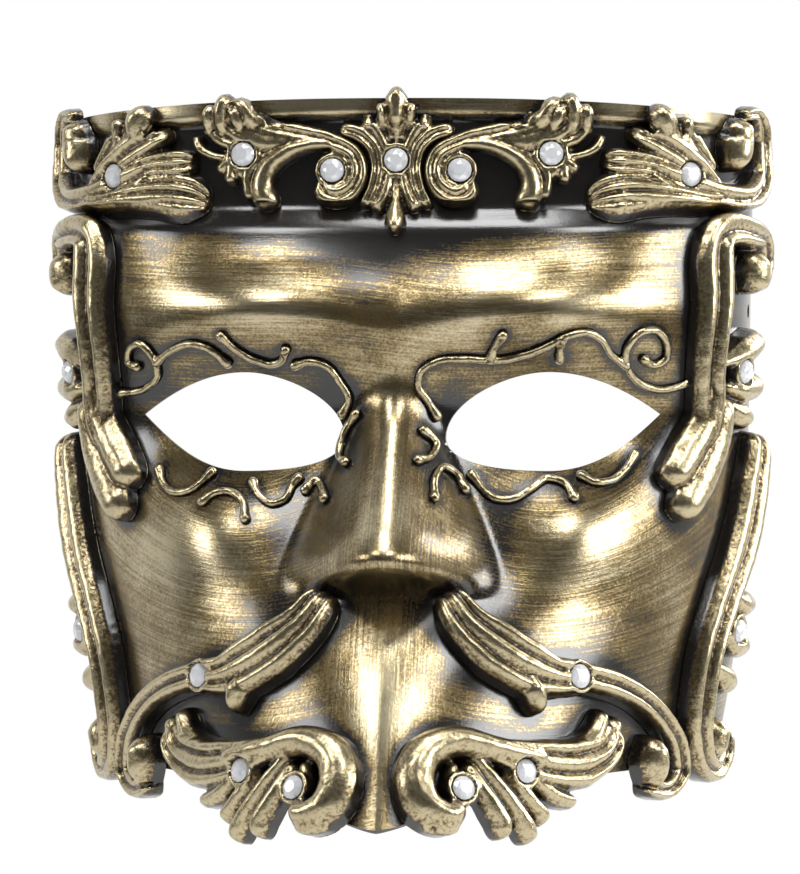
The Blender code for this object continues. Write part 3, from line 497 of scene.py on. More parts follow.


# More or less gold than the plain cover, its place across and up, and its spread: on the brows, the middle
# of the forehead, the nose, the cheeks, the chin, the eyes' inner corners, under the nose, round the eyes
# and beside the nose. Part of each hill is the dry brush catching raised parts and missing hollows, and part
# is painted light: brighter gold as painted highlights on the brows, nose, cheeks and chin, and black as
# painted shade in the middle of the forehead, the eyes' inner corners, under the nose, round the eyes and
# beside the nose.
PLAIN_COVER = 0.6
GOLD_AND_PAINTED_LIGHT_HILLS = (
    (0.3, 33.0, 31.0, (26.0, 10.0)),
    (-0.28, 0.0, 42.0, (30.0, 14.0)),
    (0.3, 0.0, -15.0, (8.0, 30.0)),
    (0.25, 50.0, -30.0, (18.0, 18.0)),
    (0.25, 0.0, -75.0, (11.0, 30.0)),
    (-0.4, 14.0, 1.0, (5.0, 11.0)),
    (-0.5, 0.0, -46.0, (26.0, 5.0)),
    (-0.22, EYE_ACROSS, -2.0, (31.0, 17.0)),
    (-0.25, 27.0, -30.0, (5.0, 13.0)),
)
HEADER_MISS = 0.75
HEADER_DIP = 6.0
HEADER_DIP_SPREAD = 40.0
LIP_CATCH = 1.1
# The brush went level over the forehead, swaying a little, upright over the nose and chin, and round the
# eyes on the cheeks. Each wave of the sway has a height, a length and a start.
UPRIGHT_STROKES = (1.2, 0.0, -45.0, (19.0, 46.0))
ROUND_STROKES = (-14.0, 10.0)
STROKE_CENTRE = (EYE_ACROSS, 12.0)
STROKE_RADIUS = 45.0
SWAY_WAVES = ((2.5, 31.0, 0.6), (0.8, 11.0, 0.0))


def gold_and_painted_light_mask(across, up):
    """How much gold the brush left on each part of the face, with painted highlights and painted shade laid
    into it. It missed the header and caught the lip.
    """
    side = np.abs(across)
    gold_and_painted_light = PLAIN_COVER + sum(bulge(side, up, *row) for row in GOLD_AND_PAINTED_LIGHT_HILLS)
    dip = HEADER_DIP * hill(side, 0.0, (HEADER_DIP_SPREAD, 1.0))
    header = smoothstep(-5.0, 4.0, up - HEADER_FOOT + dip)
    return gold_and_painted_light - HEADER_MISS * header + LIP_CATCH * smoothstep(-2.0, 2.0, up - lip_foot(side) + 1.0)


SHELL_FINISHES = (shell_paint(), inside_lacquer())
shell = dressed("mask_shell", shell_mesh(), SHELL_FINISHES, ("face_shell",))
shell_places = coordinates(shell.data) / MM
shell_across, _, shell_up = shell_places.T
shell_side = np.abs(shell_across)
# Gold left by the brush, with painted highlights on the brows, nose, cheeks and chin and painted shade under
# the nose and round the eyes.
paint_mask(shell.data, "gold_and_painted_light", gold_and_painted_light_mask(shell_across, shell_up))
paint_mask(shell.data, "upright", bulge(shell_side, shell_up, *UPRIGHT_STROKES))
paint_mask(shell.data, "on_cheek", 1.0 - smoothstep(*ROUND_STROKES, shell_up))
from_eye = np.hypot(shell_side - STROKE_CENTRE[0], shell_up - STROKE_CENTRE[1])
round_eye = np.arctan2(shell_up - STROKE_CENTRE[1], shell_side - STROKE_CENTRE[0])
sway = sum(high * np.sin(shell_across / long + start) for high, long, start in SWAY_WAVES)
flat = np.zeros_like(sway)
paint_places(shell.data, "level_stroke", (shell_across, shell_up + sway, flat))
paint_places(shell.data, "upright_stroke", (shell_up, shell_across, flat))
paint_places(shell.data, "round_stroke", (STROKE_RADIUS * round_eye, from_eye, np.sign(shell_across)))

# Carved ornaments
# Scrolls and acanthus leaves pressed from resin and glued to the shell, each on its own. They are painted
# with the shell, so black lies in their grooves and the ribs are rubbed to bright warm gold.
SEAT_GAP = 0.3
PATH_STEP = 0.6
CARVING_GRAIN = 0.4
CARVING_WAVE = 2.6
CARVING_WAVE_HEIGHT = 0.12
BLADE_END = 1.4
BLADE_END_POWER = 2.4
BLADE_OVERRUN = 0.6
BLADE_NOTCH = 1.4
BLADE_UNDERSIDE = 0.8
BLADE_SIDE_POWERS = (2.0, 3.0, 4.5)  # How square the sides are with no flute, with one and with more.
ROUND_BLADE_RISE = 1.12
FLUTE_DEPTH = 0.3
FRONT_SLANT = 0.3  # Blades stand higher at the back by this share, so those on the sides turn to the front.
FOOT_RISE = 0.05
FOOT_TOP = 1.2
GEM_RADIUS = 3.0
POCKET_RADIUS = 3.4
BEZEL_WALL = 0.9
BEZEL_RISE = 0.7
BEZEL_FLARE = 0.6


def fore(across, up, radius):
    """One point of a rib on the front of the shell."""
    return "fore", across, up, radius


def flank(deep, up, radius):
    """One point of a rib on the side wall, a distance in front of the rear rim."""
    return "flank", deep, up, radius


def leaf(flutes, *knots):
    """A blade with a number of flutes, or a round one with none. A point's radius is half its width."""
    return flutes, knots


PALMETTE_BEADS = (
    leaf(0, fore(0, 2.0, 1.8), fore(0, -0.4, 3.3), fore(0, -5, 2.2), fore(0, -11, 0.9)),
    leaf(0, fore(0, -34.0, 1.6), fore(0, -31.8, 3.0), fore(0, -28, 2.0), fore(0, -20, 1.0)),
)
PALMETTE_LEAVES = (
    leaf(0, fore(4, -2, 1.5), fore(3.2, -4.5, 1.5), fore(1.8, -7.5, 1.3), fore(1.2, -10.5, 1.0)),
    leaf(0, fore(7.6, -4.8, 2.0), fore(5, -8.2, 1.9), fore(3, -12, 1.6), fore(2.2, -15, 1.3)),
    leaf(2, fore(13.4, -8, 2.1), fore(9.3, -9.2, 2.3), fore(6.2, -12, 2.2), fore(4.8, -16.5, 2.0),
         fore(5.4, -22, 2.0), fore(7.7, -27.6, 1.9)),
    leaf(0, fore(1.5, -18.5, 1.4), fore(2.5, -23, 1.7), fore(4.6, -28.6, 1.9)),
)
PALMETTE_SEATS = ((fore(0, -15.75, GEM_RADIUS), 2.6),)
ACANTHUS_LEAVES = (
    leaf(2, fore(40.4, -2.25, 3.6), fore(35.1, -6, 3.4), fore(25.6, -8.75, 2.9), fore(16.1, -11, 2.5),
         fore(10.4, -14.25, 2.4), fore(9.1, -18.75, 2.4), fore(11.1, -23.25, 2.9), fore(15.4, -25.25, 3.3),
         fore(17.9, -23.8, 3.1), fore(18.6, -22, 2.6)),
    leaf(0, fore(16, -11.6, 1.8), fore(21.1, -11.75, 2.3), fore(27.6, -13.75, 2.9), fore(32.1, -17.5, 3.1),
         fore(33.6, -22.75, 3.4), fore(32.2, -27, 3.7)),
    leaf(0, fore(29.6, -13.5, 1.1), fore(34.6, -15.75, 1.5), fore(37.2, -19.5, 1.7),
         fore(36.9, -25.25, 1.5)),
    leaf(0, fore(42.9, 0, 2.4), fore(43.9, -3.75, 2.3), fore(42.1, -7.75, 2.2), fore(37.6, -10.5, 2.0),
         fore(29.9, -11.5, 1.2)),
    leaf(0, fore(46.6, -2.5, 2.0), fore(46.9, -6.75, 2.1), fore(44.1, -10.5, 2.0), fore(39.4, -12.25, 1.5)),
    leaf(0, fore(50.6, -9.75, 1.4), fore(49.2, -12.5, 1.7), fore(45.4, -14.5, 1.5), fore(41.6, -14.8, 1.2)),
    leaf(0, fore(41, -15, 1.4), fore(44.2, -18.2, 2.0)),
    leaf(0, fore(41, -15, 1.4), fore(41.6, -21, 2.1)),
    leaf(0, fore(40, -15, 1.3), fore(38.6, -19.6, 1.8)),
    leaf(1, fore(40.5, -6, 3.5), fore(34, -10.5, 4.0), fore(26, -11.2, 2.2)),
)
ACANTHUS_SEATS = ((fore(15.9, -18.4, GEM_RADIUS), 3.0), (fore(38.2, -14.2, GEM_RADIUS), 3.2))
CORNER_LEAVES = (
    leaf(2, flank(19, -3.6, 1.8), flank(14, -3.4, 2.3), flank(10.5, -7, 2.6), flank(9.5, -13, 2.8),
         flank(10.5, -19, 3.2), flank(14.5, -23, 3.9), fore(-9.5, -25, 4.8), fore(-14.5, -23.6, 5.3),
         fore(-20, -21, 4.8), fore(-25, -18, 3.0)),
    leaf(0, flank(23, -16, 3.8), flank(22, -11.6, 4.7), flank(21, -6.8, 4.2)),
    leaf(5, fore(-7, -25.4, 2.5), fore(-12, -26.2, 3.9), fore(-20, -25.2, 5.3), fore(-29, -25, 7.0),
         fore(-35.4, -26, 7.6)),
    leaf(3, fore(-12, -22.5, 1.6), fore(-18, -19.6, 2.3), fore(-25, -16.8, 3.2), fore(-34, -16, 3.9)),
    leaf(2, fore(-9.4, -22.5, 1.8), fore(-14.6, -17.6, 3.4), fore(-20.8, -12.4, 4.5), fore(-28, -8.8, 3.3)),
    leaf(1, fore(-10, -20, 1.6), fore(-15, -14, 2.1), fore(-19.4, -8, 2.9), fore(-23, -3.6, 3.3)),
    leaf(1, fore(-10.4, -17.6, 1.5), fore(-13.6, -11.6, 1.8), fore(-16.4, -5.8, 2.1)),
)
CORNER_SEATS = ((fore(-16.3, -19.2, GEM_RADIUS), 4.4),)
UPPER_SIDE_LEAVES = (
    leaf(2, flank(17, 35.6, 2.0), flank(11.5, 36.6, 2.6), flank(9.5, 42, 3.0), flank(12, 46.6, 3.2),
         flank(18, 48, 3.7), fore(-10, 46, 4.6), fore(-10.5, 41, 5.4), fore(-10.4, 34, 5.4),
         fore(-11.2, 24, 4.7), fore(-12, 14, 4.3), fore(-12.2, 6, 4.4), fore(-13.2, -2, 3.4),
         fore(-15, -8, 2.2)),
    leaf(0, flank(17.6, 35.2, 3.8), flank(17, 38.8, 4.8), flank(17.6, 42.4, 3.8)),
    leaf(1, fore(-10.6, 12, 3.4), fore(-12.6, 2, 4.2), fore(-16.4, -7, 4.8), fore(-20, -13.8, 4.3)),
    leaf(1, fore(-9, 6, 4.2), fore(-11.2, -5, 5.2), fore(-14.6, -14.6, 5.5), fore(-17.8, -21.6, 4.5)),
    leaf(1, fore(-9, 16, 1.6), flank(21, 19, 4.0), flank(14, 22, 3.6)),
    leaf(1, fore(-8, 10, 1.6), flank(20, 9.6, 4.2), flank(13, 10.4, 3.8)),
    leaf(1, fore(-8, 6, 1.6), flank(21, 3, 3.8), flank(16.5, 1.4, 3.0)),
)
UPPER_SIDE_SEATS = ((flank(22, 14, GEM_RADIUS), 5.0),)
LOWER_SIDE_LEAVES = (
    leaf(2, flank(10, -3, 3.1), flank(12.5, -15, 4.8), flank(17, -30, 5.2), flank(23.5, -44, 4.6),
         flank(28, -58, 4.3), flank(28.5, -68, 4.2), flank(27.5, -77, 4.0), flank(22.5, -84.4, 4.1),
         flank(15.5, -86.4, 3.8), flank(10.5, -82.5, 3.1), flank(10.5, -77, 2.4)),
    leaf(0, flank(19, -82.4, 3.4), flank(18.5, -78.8, 4.1), flank(18, -74.8, 3.4)),
    leaf(1, flank(20, -42, 1.6), flank(13.5, -45, 3.8), flank(9, -44.4, 3.4)),
    leaf(1, flank(22, -52, 1.6), flank(14, -55, 4.0), flank(9.5, -55.4, 3.6)),
    leaf(1, flank(25, -60, 1.6), flank(17.5, -63.4, 3.6), flank(13.5, -66, 3.0)),
)
LOWER_SIDE_SEATS = ((flank(16, -51.5, GEM_RADIUS), 5.0),)
MOUSTACHE_LEAVES = (
    leaf(3, fore(14.8, -1.8, 4.5), fore(19.6, -8.4, 6.2), fore(26, -13.4, 8.0), fore(33.6, -18, 7.8),
         fore(39, -20, 5.5), fore(45, -20.4, 3.5)),
    leaf(1, fore(31.6, -15, 0.8), fore(34.2, -23.6, 3.8), fore(35.6, -27.8, 2.8)),
    leaf(2, fore(36, -17.6, 3.5), fore(44.4, -19.6, 4.0), fore(52.2, -21.8, 3.9), fore(58.6, -25.6, 3.5),
         fore(63.2, -31, 3.2), fore(66, -37.5, 3.0), fore(66.2, -43.5, 3.0), fore(63.4, -47.8, 3.1),
         fore(59.6, -47.2, 3.0)),
    leaf(0, fore(60.8, -36.4, 3.6), fore(60.4, -41, 4.9), fore(60.6, -45.2, 4.4)),
)
MOUSTACHE_SEATS = ((fore(43.8, -20, GEM_RADIUS), 5.4),)
BEARD_LEAVES = (
    leaf(0, fore(36, 15.6, 4.1), fore(25.3, 18.3, 4.3), fore(15.9, 20.2, 4.6), fore(9.8, 17.1, 5.3),
         fore(8.1, 10.5, 5.5), fore(10.4, 4.4, 5.5), fore(15.2, 2.4, 4.6), fore(18, 4.6, 3.1)),
    leaf(3, fore(52, 23.8, 2.6), fore(50, 18.8, 5.0), fore(45.2, 15.4, 7.0), fore(37, 15.2, 6.5),
         fore(29, 17, 4.6), fore(22, 19, 3.1)),
    leaf(1, fore(52.8, 25.6, 2.4), fore(50.4, 20, 3.1), fore(45.4, 15.6, 2.9)),
    leaf(1, fore(50.2, 27.5, 2.0), fore(47.9, 22, 2.8), fore(43, 18.4, 2.6)),
    leaf(1, fore(33.6, 11.4, 2.4), fore(39.6, 6.8, 2.6), fore(43.4, 5.6, 2.2)),
    leaf(1, fore(28.6, 13, 2.4), fore(32.8, 6.6, 2.8), fore(37, 1.6, 2.6)),
    leaf(1, fore(20.5, 17, 1.9), fore(24.6, 12, 2.5), fore(30, 4, 2.9), fore(33.6, -2.6, 3.1)),
    leaf(1, fore(19.6, 14.5, 1.9), fore(22, 10, 2.5), fore(25.6, 3.6, 3.1), fore(28, -1.2, 3.1)),
    leaf(1, fore(16.8, 15, 1.7), fore(16, 10.4, 1.9), fore(17.4, 6.4, 1.8)),
)
BEARD_SEATS = ((fore(31.8, 13, GEM_RADIUS), 5.2), (fore(18.3, 8.85, GEM_RADIUS), 4.8))


def level(points):
    """Zero on the outside of the shell, below zero inside it."""
    up = points[:, 2]
    roundness = station(up, 3)
    fade = smoothstep(0.0, RELIEF_FADE, -points[:, 1])
    deep = np.clip(-points[:, 1] - relief(points[:, 0], up) * fade, 0.0, None)
    share = (np.abs(points[:, 0]) / station(up, 1)) ** roundness + (deep / station(up, 2)) ** roundness
    return share ** (1.0 / roundness) - 1.0


def height_and_slope(points):
    """Height of points over the shell, and the direction that stands square on it there."""
    step = 0.05
    slopes = []
    for offset in np.eye(3) * step:
        slopes.append((level(points + offset) - level(points - offset)) / (2.0 * step))
    slopes = np.stack(slopes, axis=1)
    steep = np.linalg.norm(slopes, axis=1)
    return level(points) / steep, slopes / steep[:, None]


def on_shell(points):
    for _ in range(4):
        height, out = height_and_slope(points)
        points = points - out * height[:, None]
    return points


def fore_point(across, up):
    return across, -float(plain_depth(across, up) + face(across, up)), up


def flank_point(sign, deep, up):
    roundness = float(station(up, 3))
    share = (1.0 - (deep / float(station(up, 2))) ** roundness) ** (1.0 / roundness)
    return sign * float(station(up, 1)) * share, -deep, up


def surface_points(sign, anchor, knots):
    """Places on the shell of a rib's points, counted from the ornament's anchor."""
    places = []
    for kind, distance, up, _ in knots:
        if kind == "flank":
            places.append(flank_point(sign, distance, anchor[1] + up))
        else:
            places.append(fore_point(sign * (anchor[0] + distance), anchor[1] + up))
    return np.array(places)


def rib_path(sign, anchor, knots):
    """Fine points on the shell along a rib, the way out of it there, and the rib's radii."""
    places = surface_points(sign, anchor, knots)
    lengths = np.linalg.norm(np.diff(places, axis=0), axis=1)
    marks = np.concatenate(((0.0,), np.cumsum(lengths)))
    fine = np.linspace(0.0, marks[-1], max(4, int(marks[-1] / PATH_STEP)))
    path = on_shell(hermite(marks, places, fine))
    return path, height_and_slope(path)[1], np.interp(fine, marks, [knot[3] for knot in knots])


def melted(body, grain):
    """The overlapping lumps of an object melted into one body."""
    melt = body.modifiers.new("melt", 'REMESH')
    melt.mode = 'VOXEL'
    melt.voxel_size = grain
    return baked(body)


def seat_frame(sign, anchor, knot):
    """Place of a gem's seat on the shell, and the direction that stands square on it."""
    place = on_shell(surface_points(sign, anchor, (knot,)))
    return place[0], height_and_slope(place)[1][0]


def neighbours_mean(mesh, values):
    """Mean of a value over the points next to each point."""
    pairs = np.empty(len(mesh.edges) * 2, dtype=np.int32)
    mesh.edges.foreach_get("vertices", pairs)
    pairs = pairs.reshape(-1, 2)
    total = np.zeros_like(values)
    count = np.zeros(len(values))
    for first, second in ((0, 1), (1, 0)):
        for column in range(values.shape[1]):
            total[:, column] += np.bincount(pairs[:, first], values[pairs[:, second], column], len(values))
        count += np.bincount(pairs[:, first], minlength=len(values))
    return total / count[:, None]


def normals(mesh):
    directions = np.empty(len(mesh.vertices) * 3)
    mesh.vertices.foreach_get("normal", directions)
    return directions.reshape(-1, 3)


def hollowness(mesh, places, rounds):
    """How far each point lies below its surroundings, in millimetres: above zero in a groove."""
    mean = places
    for _ in range(rounds):
        mean = neighbours_mean(mesh, mean)
    return ((mean - places) * normals(mesh)).sum(axis=1)


def roughened(places, out, size, depth):
    """The points moved in and out a little, as hand-cut work is."""
    waves = np.array([noise.noise(Vector(place) / size) for place in places])
    return places + out * (waves * depth)[:, None]


def set_places(mesh, places):
    mesh.vertices.foreach_set("co", places.astype(np.float32).ravel())
    mesh.update()


def seated(places):
    """The points lifted off the shell where they are closer to it than the seat gap."""
    for _ in range(2):
        height, out = height_and_slope(places)
        places = places + out * np.clip(SEAT_GAP - height, 0.0, None)[:, None]
    return places


def feet(places, height, top):
    """Some of the points just over the shell, up to a height."""
    return places[(height > SEAT_GAP + FOOT_RISE) & (height < top)][::3]


RIB_GOLD = (0.43, 0.365, 0.225, 1.0)
RIB_UMBER = (0.14, 0.092, 0.032, 1.0)
RIB_COVER = 0.78
GROOVE_BLACK = 1.35
GROOVE_ROUNDS = 16


def carved_gold():
    """Warm gold on the ribs, umber on their sides and black in the grooves."""
    finish, tree, shader = new_material("carved_gold")
    speckle = mottle(tree, object_place(tree), 1100.0, 4.0, 0.7)
    gild(tree, shader, {"Cover": mask(tree, "worn"), "Grain": ramp(tree, speckle, 0.3, 0.7), "Spread": 0.65,
                        "Gold": RIB_GOLD, "Umber": RIB_UMBER})
    raise_grain(tree, shader, speckle, 0.3)
    return finish


CARVED_GOLD = carved_gold()
CARVED_FEET = []
STONE_SEATS = []


def fluting(side, flutes):
    """The flutes across a blade: one on their ridges and at the blade's edges, zero in the furrows."""
    count = max(flutes, 1)
    ridge = np.abs(np.sin(0.5 * math.pi * count * (side + 1.0))) ** 0.7
    return np.maximum(ridge, smoothstep(1.0 - 1.2 / count, 1.0, np.abs(side)))


def into_end(share, whole, width):
    """How far points are into a blade's round ends: zero between the ends and one at the tips."""
    near_end = np.maximum(1.0 - share * whole / (BLADE_END * width[0]),
                          1.0 - (1.0 - share) * whole / (BLADE_END * width[-1]))
    return np.clip(near_end, 0.0, 1.0)


def add_blade(shape, sign, anchor, flutes, knots, lift):
    """Draws a ball out into one blade on the shell, with round sides and ends and a fluted top."""
    path, out, width = rib_path(sign, anchor, knots)
    marks = np.concatenate(((0.0,), np.cumsum(np.linalg.norm(np.diff(path, axis=0), axis=1))))
    along = np.gradient(path, axis=0)
    along = along / np.linalg.norm(along, axis=1)[:, None]
    across = np.cross(out, along)
    first, last = BLADE_OVERRUN * width[0], BLADE_OVERRUN * width[-1]
    whole = marks[-1] + first + last
    made = bmesh.ops.create_uvsphere(shape, u_segments=24 + 8 * flutes, v_segments=16 + int(whole),
                                     radius=1.0)
    ball = np.array([vert.co for vert in made["verts"]])
    share = np.arccos(np.clip(ball[:, 2], -1.0, 1.0)) / math.pi
    turn = np.arctan2(ball[:, 1], ball[:, 0])
    side = 1.0 - 2.0 * np.abs(turn) / math.pi
    ridge = fluting(side, flutes)
    notch = BLADE_NOTCH * width[-1] / flutes if flutes > 1 else 0.0
    run = share * whole - first - notch * (1.0 - ridge) * smoothstep(0.6, 1.0, share)
    inside = np.clip(run, 0.0, marks[-1])
    end_left = 1.0 - into_end(share, whole, width) ** BLADE_END_POWER
    half = np.interp(inside, marks, width)
    tall = np.minimum(lift, 0.4 * lift + 1.1 * half) * end_left ** 0.5
    half = half * end_left ** (1.0 / BLADE_END_POWER)
    at = [np.stack([np.interp(inside, marks, field[:, axis]) for axis in range(3)], axis=1)
          for field in (path, along, across)]
    foot = at[0] + at[1] * (run - inside)[:, None] + at[2] * (side * half)[:, None]
    for _ in range(2):
        height, up = height_and_slope(foot)
        foot = foot - up * height[:, None]
    top = tall * np.sqrt(1.0 - np.abs(side) ** BLADE_SIDE_POWERS[min(flutes, 2)])
    top = top * (ROUND_BLADE_RISE if flutes == 0 else 1.0 - FLUTE_DEPTH + FLUTE_DEPTH * ridge)
    top = top * (1.0 + FRONT_SLANT * side * at[2][:, 1])
    places = foot + up * np.where(turn > 0.0, top, -BLADE_UNDERSIDE)[:, None]
    for vert, place in zip(made["verts"], places):
        vert.co = place


def upright_at(place, out):
    """Place and turn of something that stands square on the shell."""
    return Matrix.Translation(place) @ Vector(out).to_track_quat('Z', 'Y').to_matrix().to_4x4()


def add_bezel(shape, place, out, floor):
    """A round boss that a gem's pocket is sunk into later, which leaves the bezel."""
    bezel = POCKET_RADIUS + BEZEL_WALL
    tall = floor + BEZEL_RISE
    bmesh.ops.create_cone(shape, cap_ends=True, segments=40, radius1=bezel + BEZEL_FLARE, radius2=bezel,
                          depth=tall, matrix=upright_at(place + out * tall / 2.0, out))


def pocketed(places, frames):
    """The points over each gem's seat sunk to the floor of its pocket."""
    for place, out, floor in frames:
        along = (places - place) @ out
        aside = np.linalg.norm(places - place - along[:, None] * out, axis=1)
        sunk = (aside < POCKET_RADIUS) & (along > floor)
        places[sunk] -= out * (along[sunk] - floor)[:, None]
    return places


def worn_mask(mesh, places, out):
    """How much gold a carving keeps: most where it faces away from the shell, and none in its grooves."""
    facing = smoothstep(0.15, 0.7, (normals(mesh) * out).sum(axis=1))
    return RIB_COVER * facing - GROOVE_BLACK * hollowness(mesh, places, GROOVE_ROUNDS)


def ornament(name, anchor, leaves, lift, seats):
    """One carved piece: fluted blades moulded over the shell and pocketed for their gems."""
    shape = bmesh.new()
    for sign, (flutes, knots) in leaves:
        add_blade(shape, sign, anchor, flutes, knots, lift)
    frames = []
    for number, (sign, (knot, floor)) in enumerate(seats, start=1):
        place, out = seat_frame(sign, anchor, knot)
        add_bezel(shape, place, out, floor)
        frames.append((place, out, floor))
        STONE_SEATS.append((name + "_gem_" + str(number), place, out, floor))
    mesh = melted(bmesh_object(name, shape), CARVING_GRAIN)
    places = coordinates(mesh)
    for _ in range(2):
        places = 0.5 * places + 0.5 * neighbours_mean(mesh, places)
    places = roughened(places, height_and_slope(places)[1], CARVING_WAVE, CARVING_WAVE_HEIGHT)
    places = seated(pocketed(places, frames))
    set_places(mesh, places)
    height, out = height_and_slope(places)
    paint_mask(mesh, "worn", worn_mask(mesh, places, out))
    CARVED_FEET.append(feet(places, height, FOOT_TOP))
    mesh.shade_smooth()
    dressed(name + "_carving", mesh, (CARVED_GOLD,), (name,))


def one_side(sign, rows):
    return [(sign, row) for row in rows]


crown = (0.0, TOP_EDGE)
temple = (HALF_WIDTH, 0.0)
palmette = one_side(1.0, PALMETTE_BEADS + PALMETTE_LEAVES) + one_side(-1.0, PALMETTE_LEAVES)
ornament("top_palmette", crown, palmette, 3.8, one_side(1.0, PALMETTE_SEATS))
ORNAMENT_PAIRS = (
    ("acanthus_scroll", crown, ACANTHUS_LEAVES, 4.4, ACANTHUS_SEATS),
    ("corner_leaf", (HALF_WIDTH, TOP_EDGE), CORNER_LEAVES, 6.4, CORNER_SEATS),
    ("upper_side_scroll", temple, UPPER_SIDE_LEAVES, 6.8, UPPER_SIDE_SEATS),
    ("lower_side_scroll", temple, LOWER_SIDE_LEAVES, 6.8, LOWER_SIDE_SEATS),
    ("moustache_leaf", (0.0, NOSE_BASE), MOUSTACHE_LEAVES, 7.2, MOUSTACHE_SEATS),
    ("beard_scroll", (0.0, BOTTOM_EDGE), BEARD_LEAVES, 7.2, BEARD_SEATS),
)
for side, sign in (("left", -1.0), ("right", 1.0)):
    for kind, anchor, leaves, lift, seats in ORNAMENT_PAIRS:
        ornament(side + "_" + kind, anchor, one_side(sign, leaves), lift, one_side(sign, seats))

# Rhinestones
# Clear round stones of cut glass with a flat foiled back, glued into the pockets of the ornaments. The
# crown has an eight-sided table over two rings of small three-sided facets, and a straight girdle.
GEM_TABLE_RADIUS = 1.5
GEM_MIDDLE_RADIUS = 2.35
GEM_GIRDLE = 0.35
GEM_MIDDLE = 1.05
GEM_HEIGHT = 1.55


def stone_mesh(place, out):
    """A cut stone on its seat, made from rings of points joined by its facets."""
    shape = bmesh.new()
    for radius, height, sides, turn in ((GEM_RADIUS, 0.0, 16, 0.0), (GEM_RADIUS, GEM_GIRDLE, 16, 0.0),
                                        (GEM_MIDDLE_RADIUS, GEM_MIDDLE, 8, 0.0),
                                        (GEM_TABLE_RADIUS, GEM_HEIGHT, 8, math.pi / 8.0)):
        turned = Matrix.Translation((0.0, 0.0, height)) @ Matrix.Rotation(turn, 4, 'Z')
        bmesh.ops.create_circle(shape, cap_ends=False, segments=sides, radius=radius, matrix=turned)
    bmesh.ops.convex_hull(shape, input=shape.verts)
    bmesh.ops.dissolve_limit(shape, angle_limit=math.radians(1.5), verts=shape.verts, edges=shape.edges)
    bmesh.ops.recalc_face_normals(shape, faces=shape.faces)
    for facet in shape.faces:
        facet.material_index = 1 if facet.normal.z < -0.9 else 0
    bmesh.ops.transform(shape, matrix=upright_at(place, out), verts=shape.verts)
    mesh = bpy.data.meshes.new("stone")
    shape.to_mesh(mesh)
    shape.free()
    return mesh


GLASS_TINT = (0.95, 0.96, 0.98, 1.0)
FOIL_GREY = (0.72, 0.74, 0.78, 1.0)
FOIL_SILVER = (0.92, 0.92, 0.94, 1.0)


def stone_glass():
    """Clear cut glass with a faint haze of handling on the facets."""
    finish, tree, shader = new_material("stone_glass")
    haze = mottle(tree, object_place(tree), 900.0, 3.0)
    tree.links.new(ramp(tree, haze, 0.45, 0.75, 0.0, 0.12), shader.inputs["Roughness"])
    shader.inputs["Base Color"].default_value = GLASS_TINT
    shader.inputs["Transmission Weight"].default_value = 0.6
    shader.inputs["IOR"].default_value = 1.9
    return finish


def stone_foil():
    """Silver foil behind the stone, slightly crinkled."""
    finish, tree, shader = new_material("stone_foil")
    crinkle = mottle(tree, object_place(tree), 700.0, 2.0)
    tree.links.new(blend_colours(tree, crinkle, FOIL_GREY, FOIL_SILVER), shader.inputs["Base Color"])
    raise_grain(tree, shader, crinkle, 0.3)
    shader.inputs["Metallic"].default_value = 0.35
    shader.inputs["Roughness"].default_value = 0.2
    return finish


STONE_FINISHES = (stone_glass(), stone_foil())
for name, place, out, floor in STONE_SEATS:
    stone = stone_mesh(place + out * (floor + SEAT_GAP), out)
    dressed(name + "_stone", stone, STONE_FINISHES, (name,))

# Filigree
# Thin lines of relief paste squeezed onto the shell round both eyes by hand, so the two sides differ. They
# end in small blobs, and are painted and rubbed with the shell.
FILIGREE_RADIUS = 1.2
FILIGREE_LIFT = 0.55
FILIGREE_GRAIN = 0.25
FILIGREE_WAVE = 2.0
FILIGREE_WAVE_HEIGHT = 0.15
FILIGREE_FOOT_TOP = 0.9
MIDDLE_SHARE = 0.85
BLOB_SWELL = 0.35
BLOB_REACH = 1.6
LEFT_FILIGREE = (
    (((28.2, 14.9), (30.5, 15.8), (30.2, 19), (27, 20.6), (23.8, 17.4), (22.8, 12.9), (26.4, 9.4),
      (33.3, 8.2)),
     ((22.8, 16.1), (18, 19.3), (12.8, 20.6), (8.4, 19.3), (4.2, 15.8))),
    (((5.1, 22.5), (0.9, 18.7), (-3.6, 16.4), (-7.4, 15.5), (-9.9, 16.4), (-11.2, 19)),),
    (((-13.4, 15.2), (-17, 16.1), (-21.5, 14.9), (-24.6, 11), (-26.8, 6.6), (-25.2, 2.8)),),
    (((-29, 2.6), (-26.4, -1), (-24.9, -5.3), (-24.9, -8.3), (-26.9, -9.5)),),
    (((22.4, -11.3), (21.2, -14.7), (17.3, -17.1), (12.9, -16.2), (10.2, -14), (8.4, -12.2)),),
    (((10, -19.4), (6.9, -17.3), (2.7, -17.1), (-0.3, -19.2), (-1.2, -23.5)),),
    (((-2.7, -14.7), (-4.6, -18), (-7.9, -19.8), (-11.2, -18.6), (-13, -15), (-14.4, -13.5)),),
    (((-16.3, -16.4), (-18.7, -13.9), (-20.5, -15.6), (-21.8, -18.6)),),
)
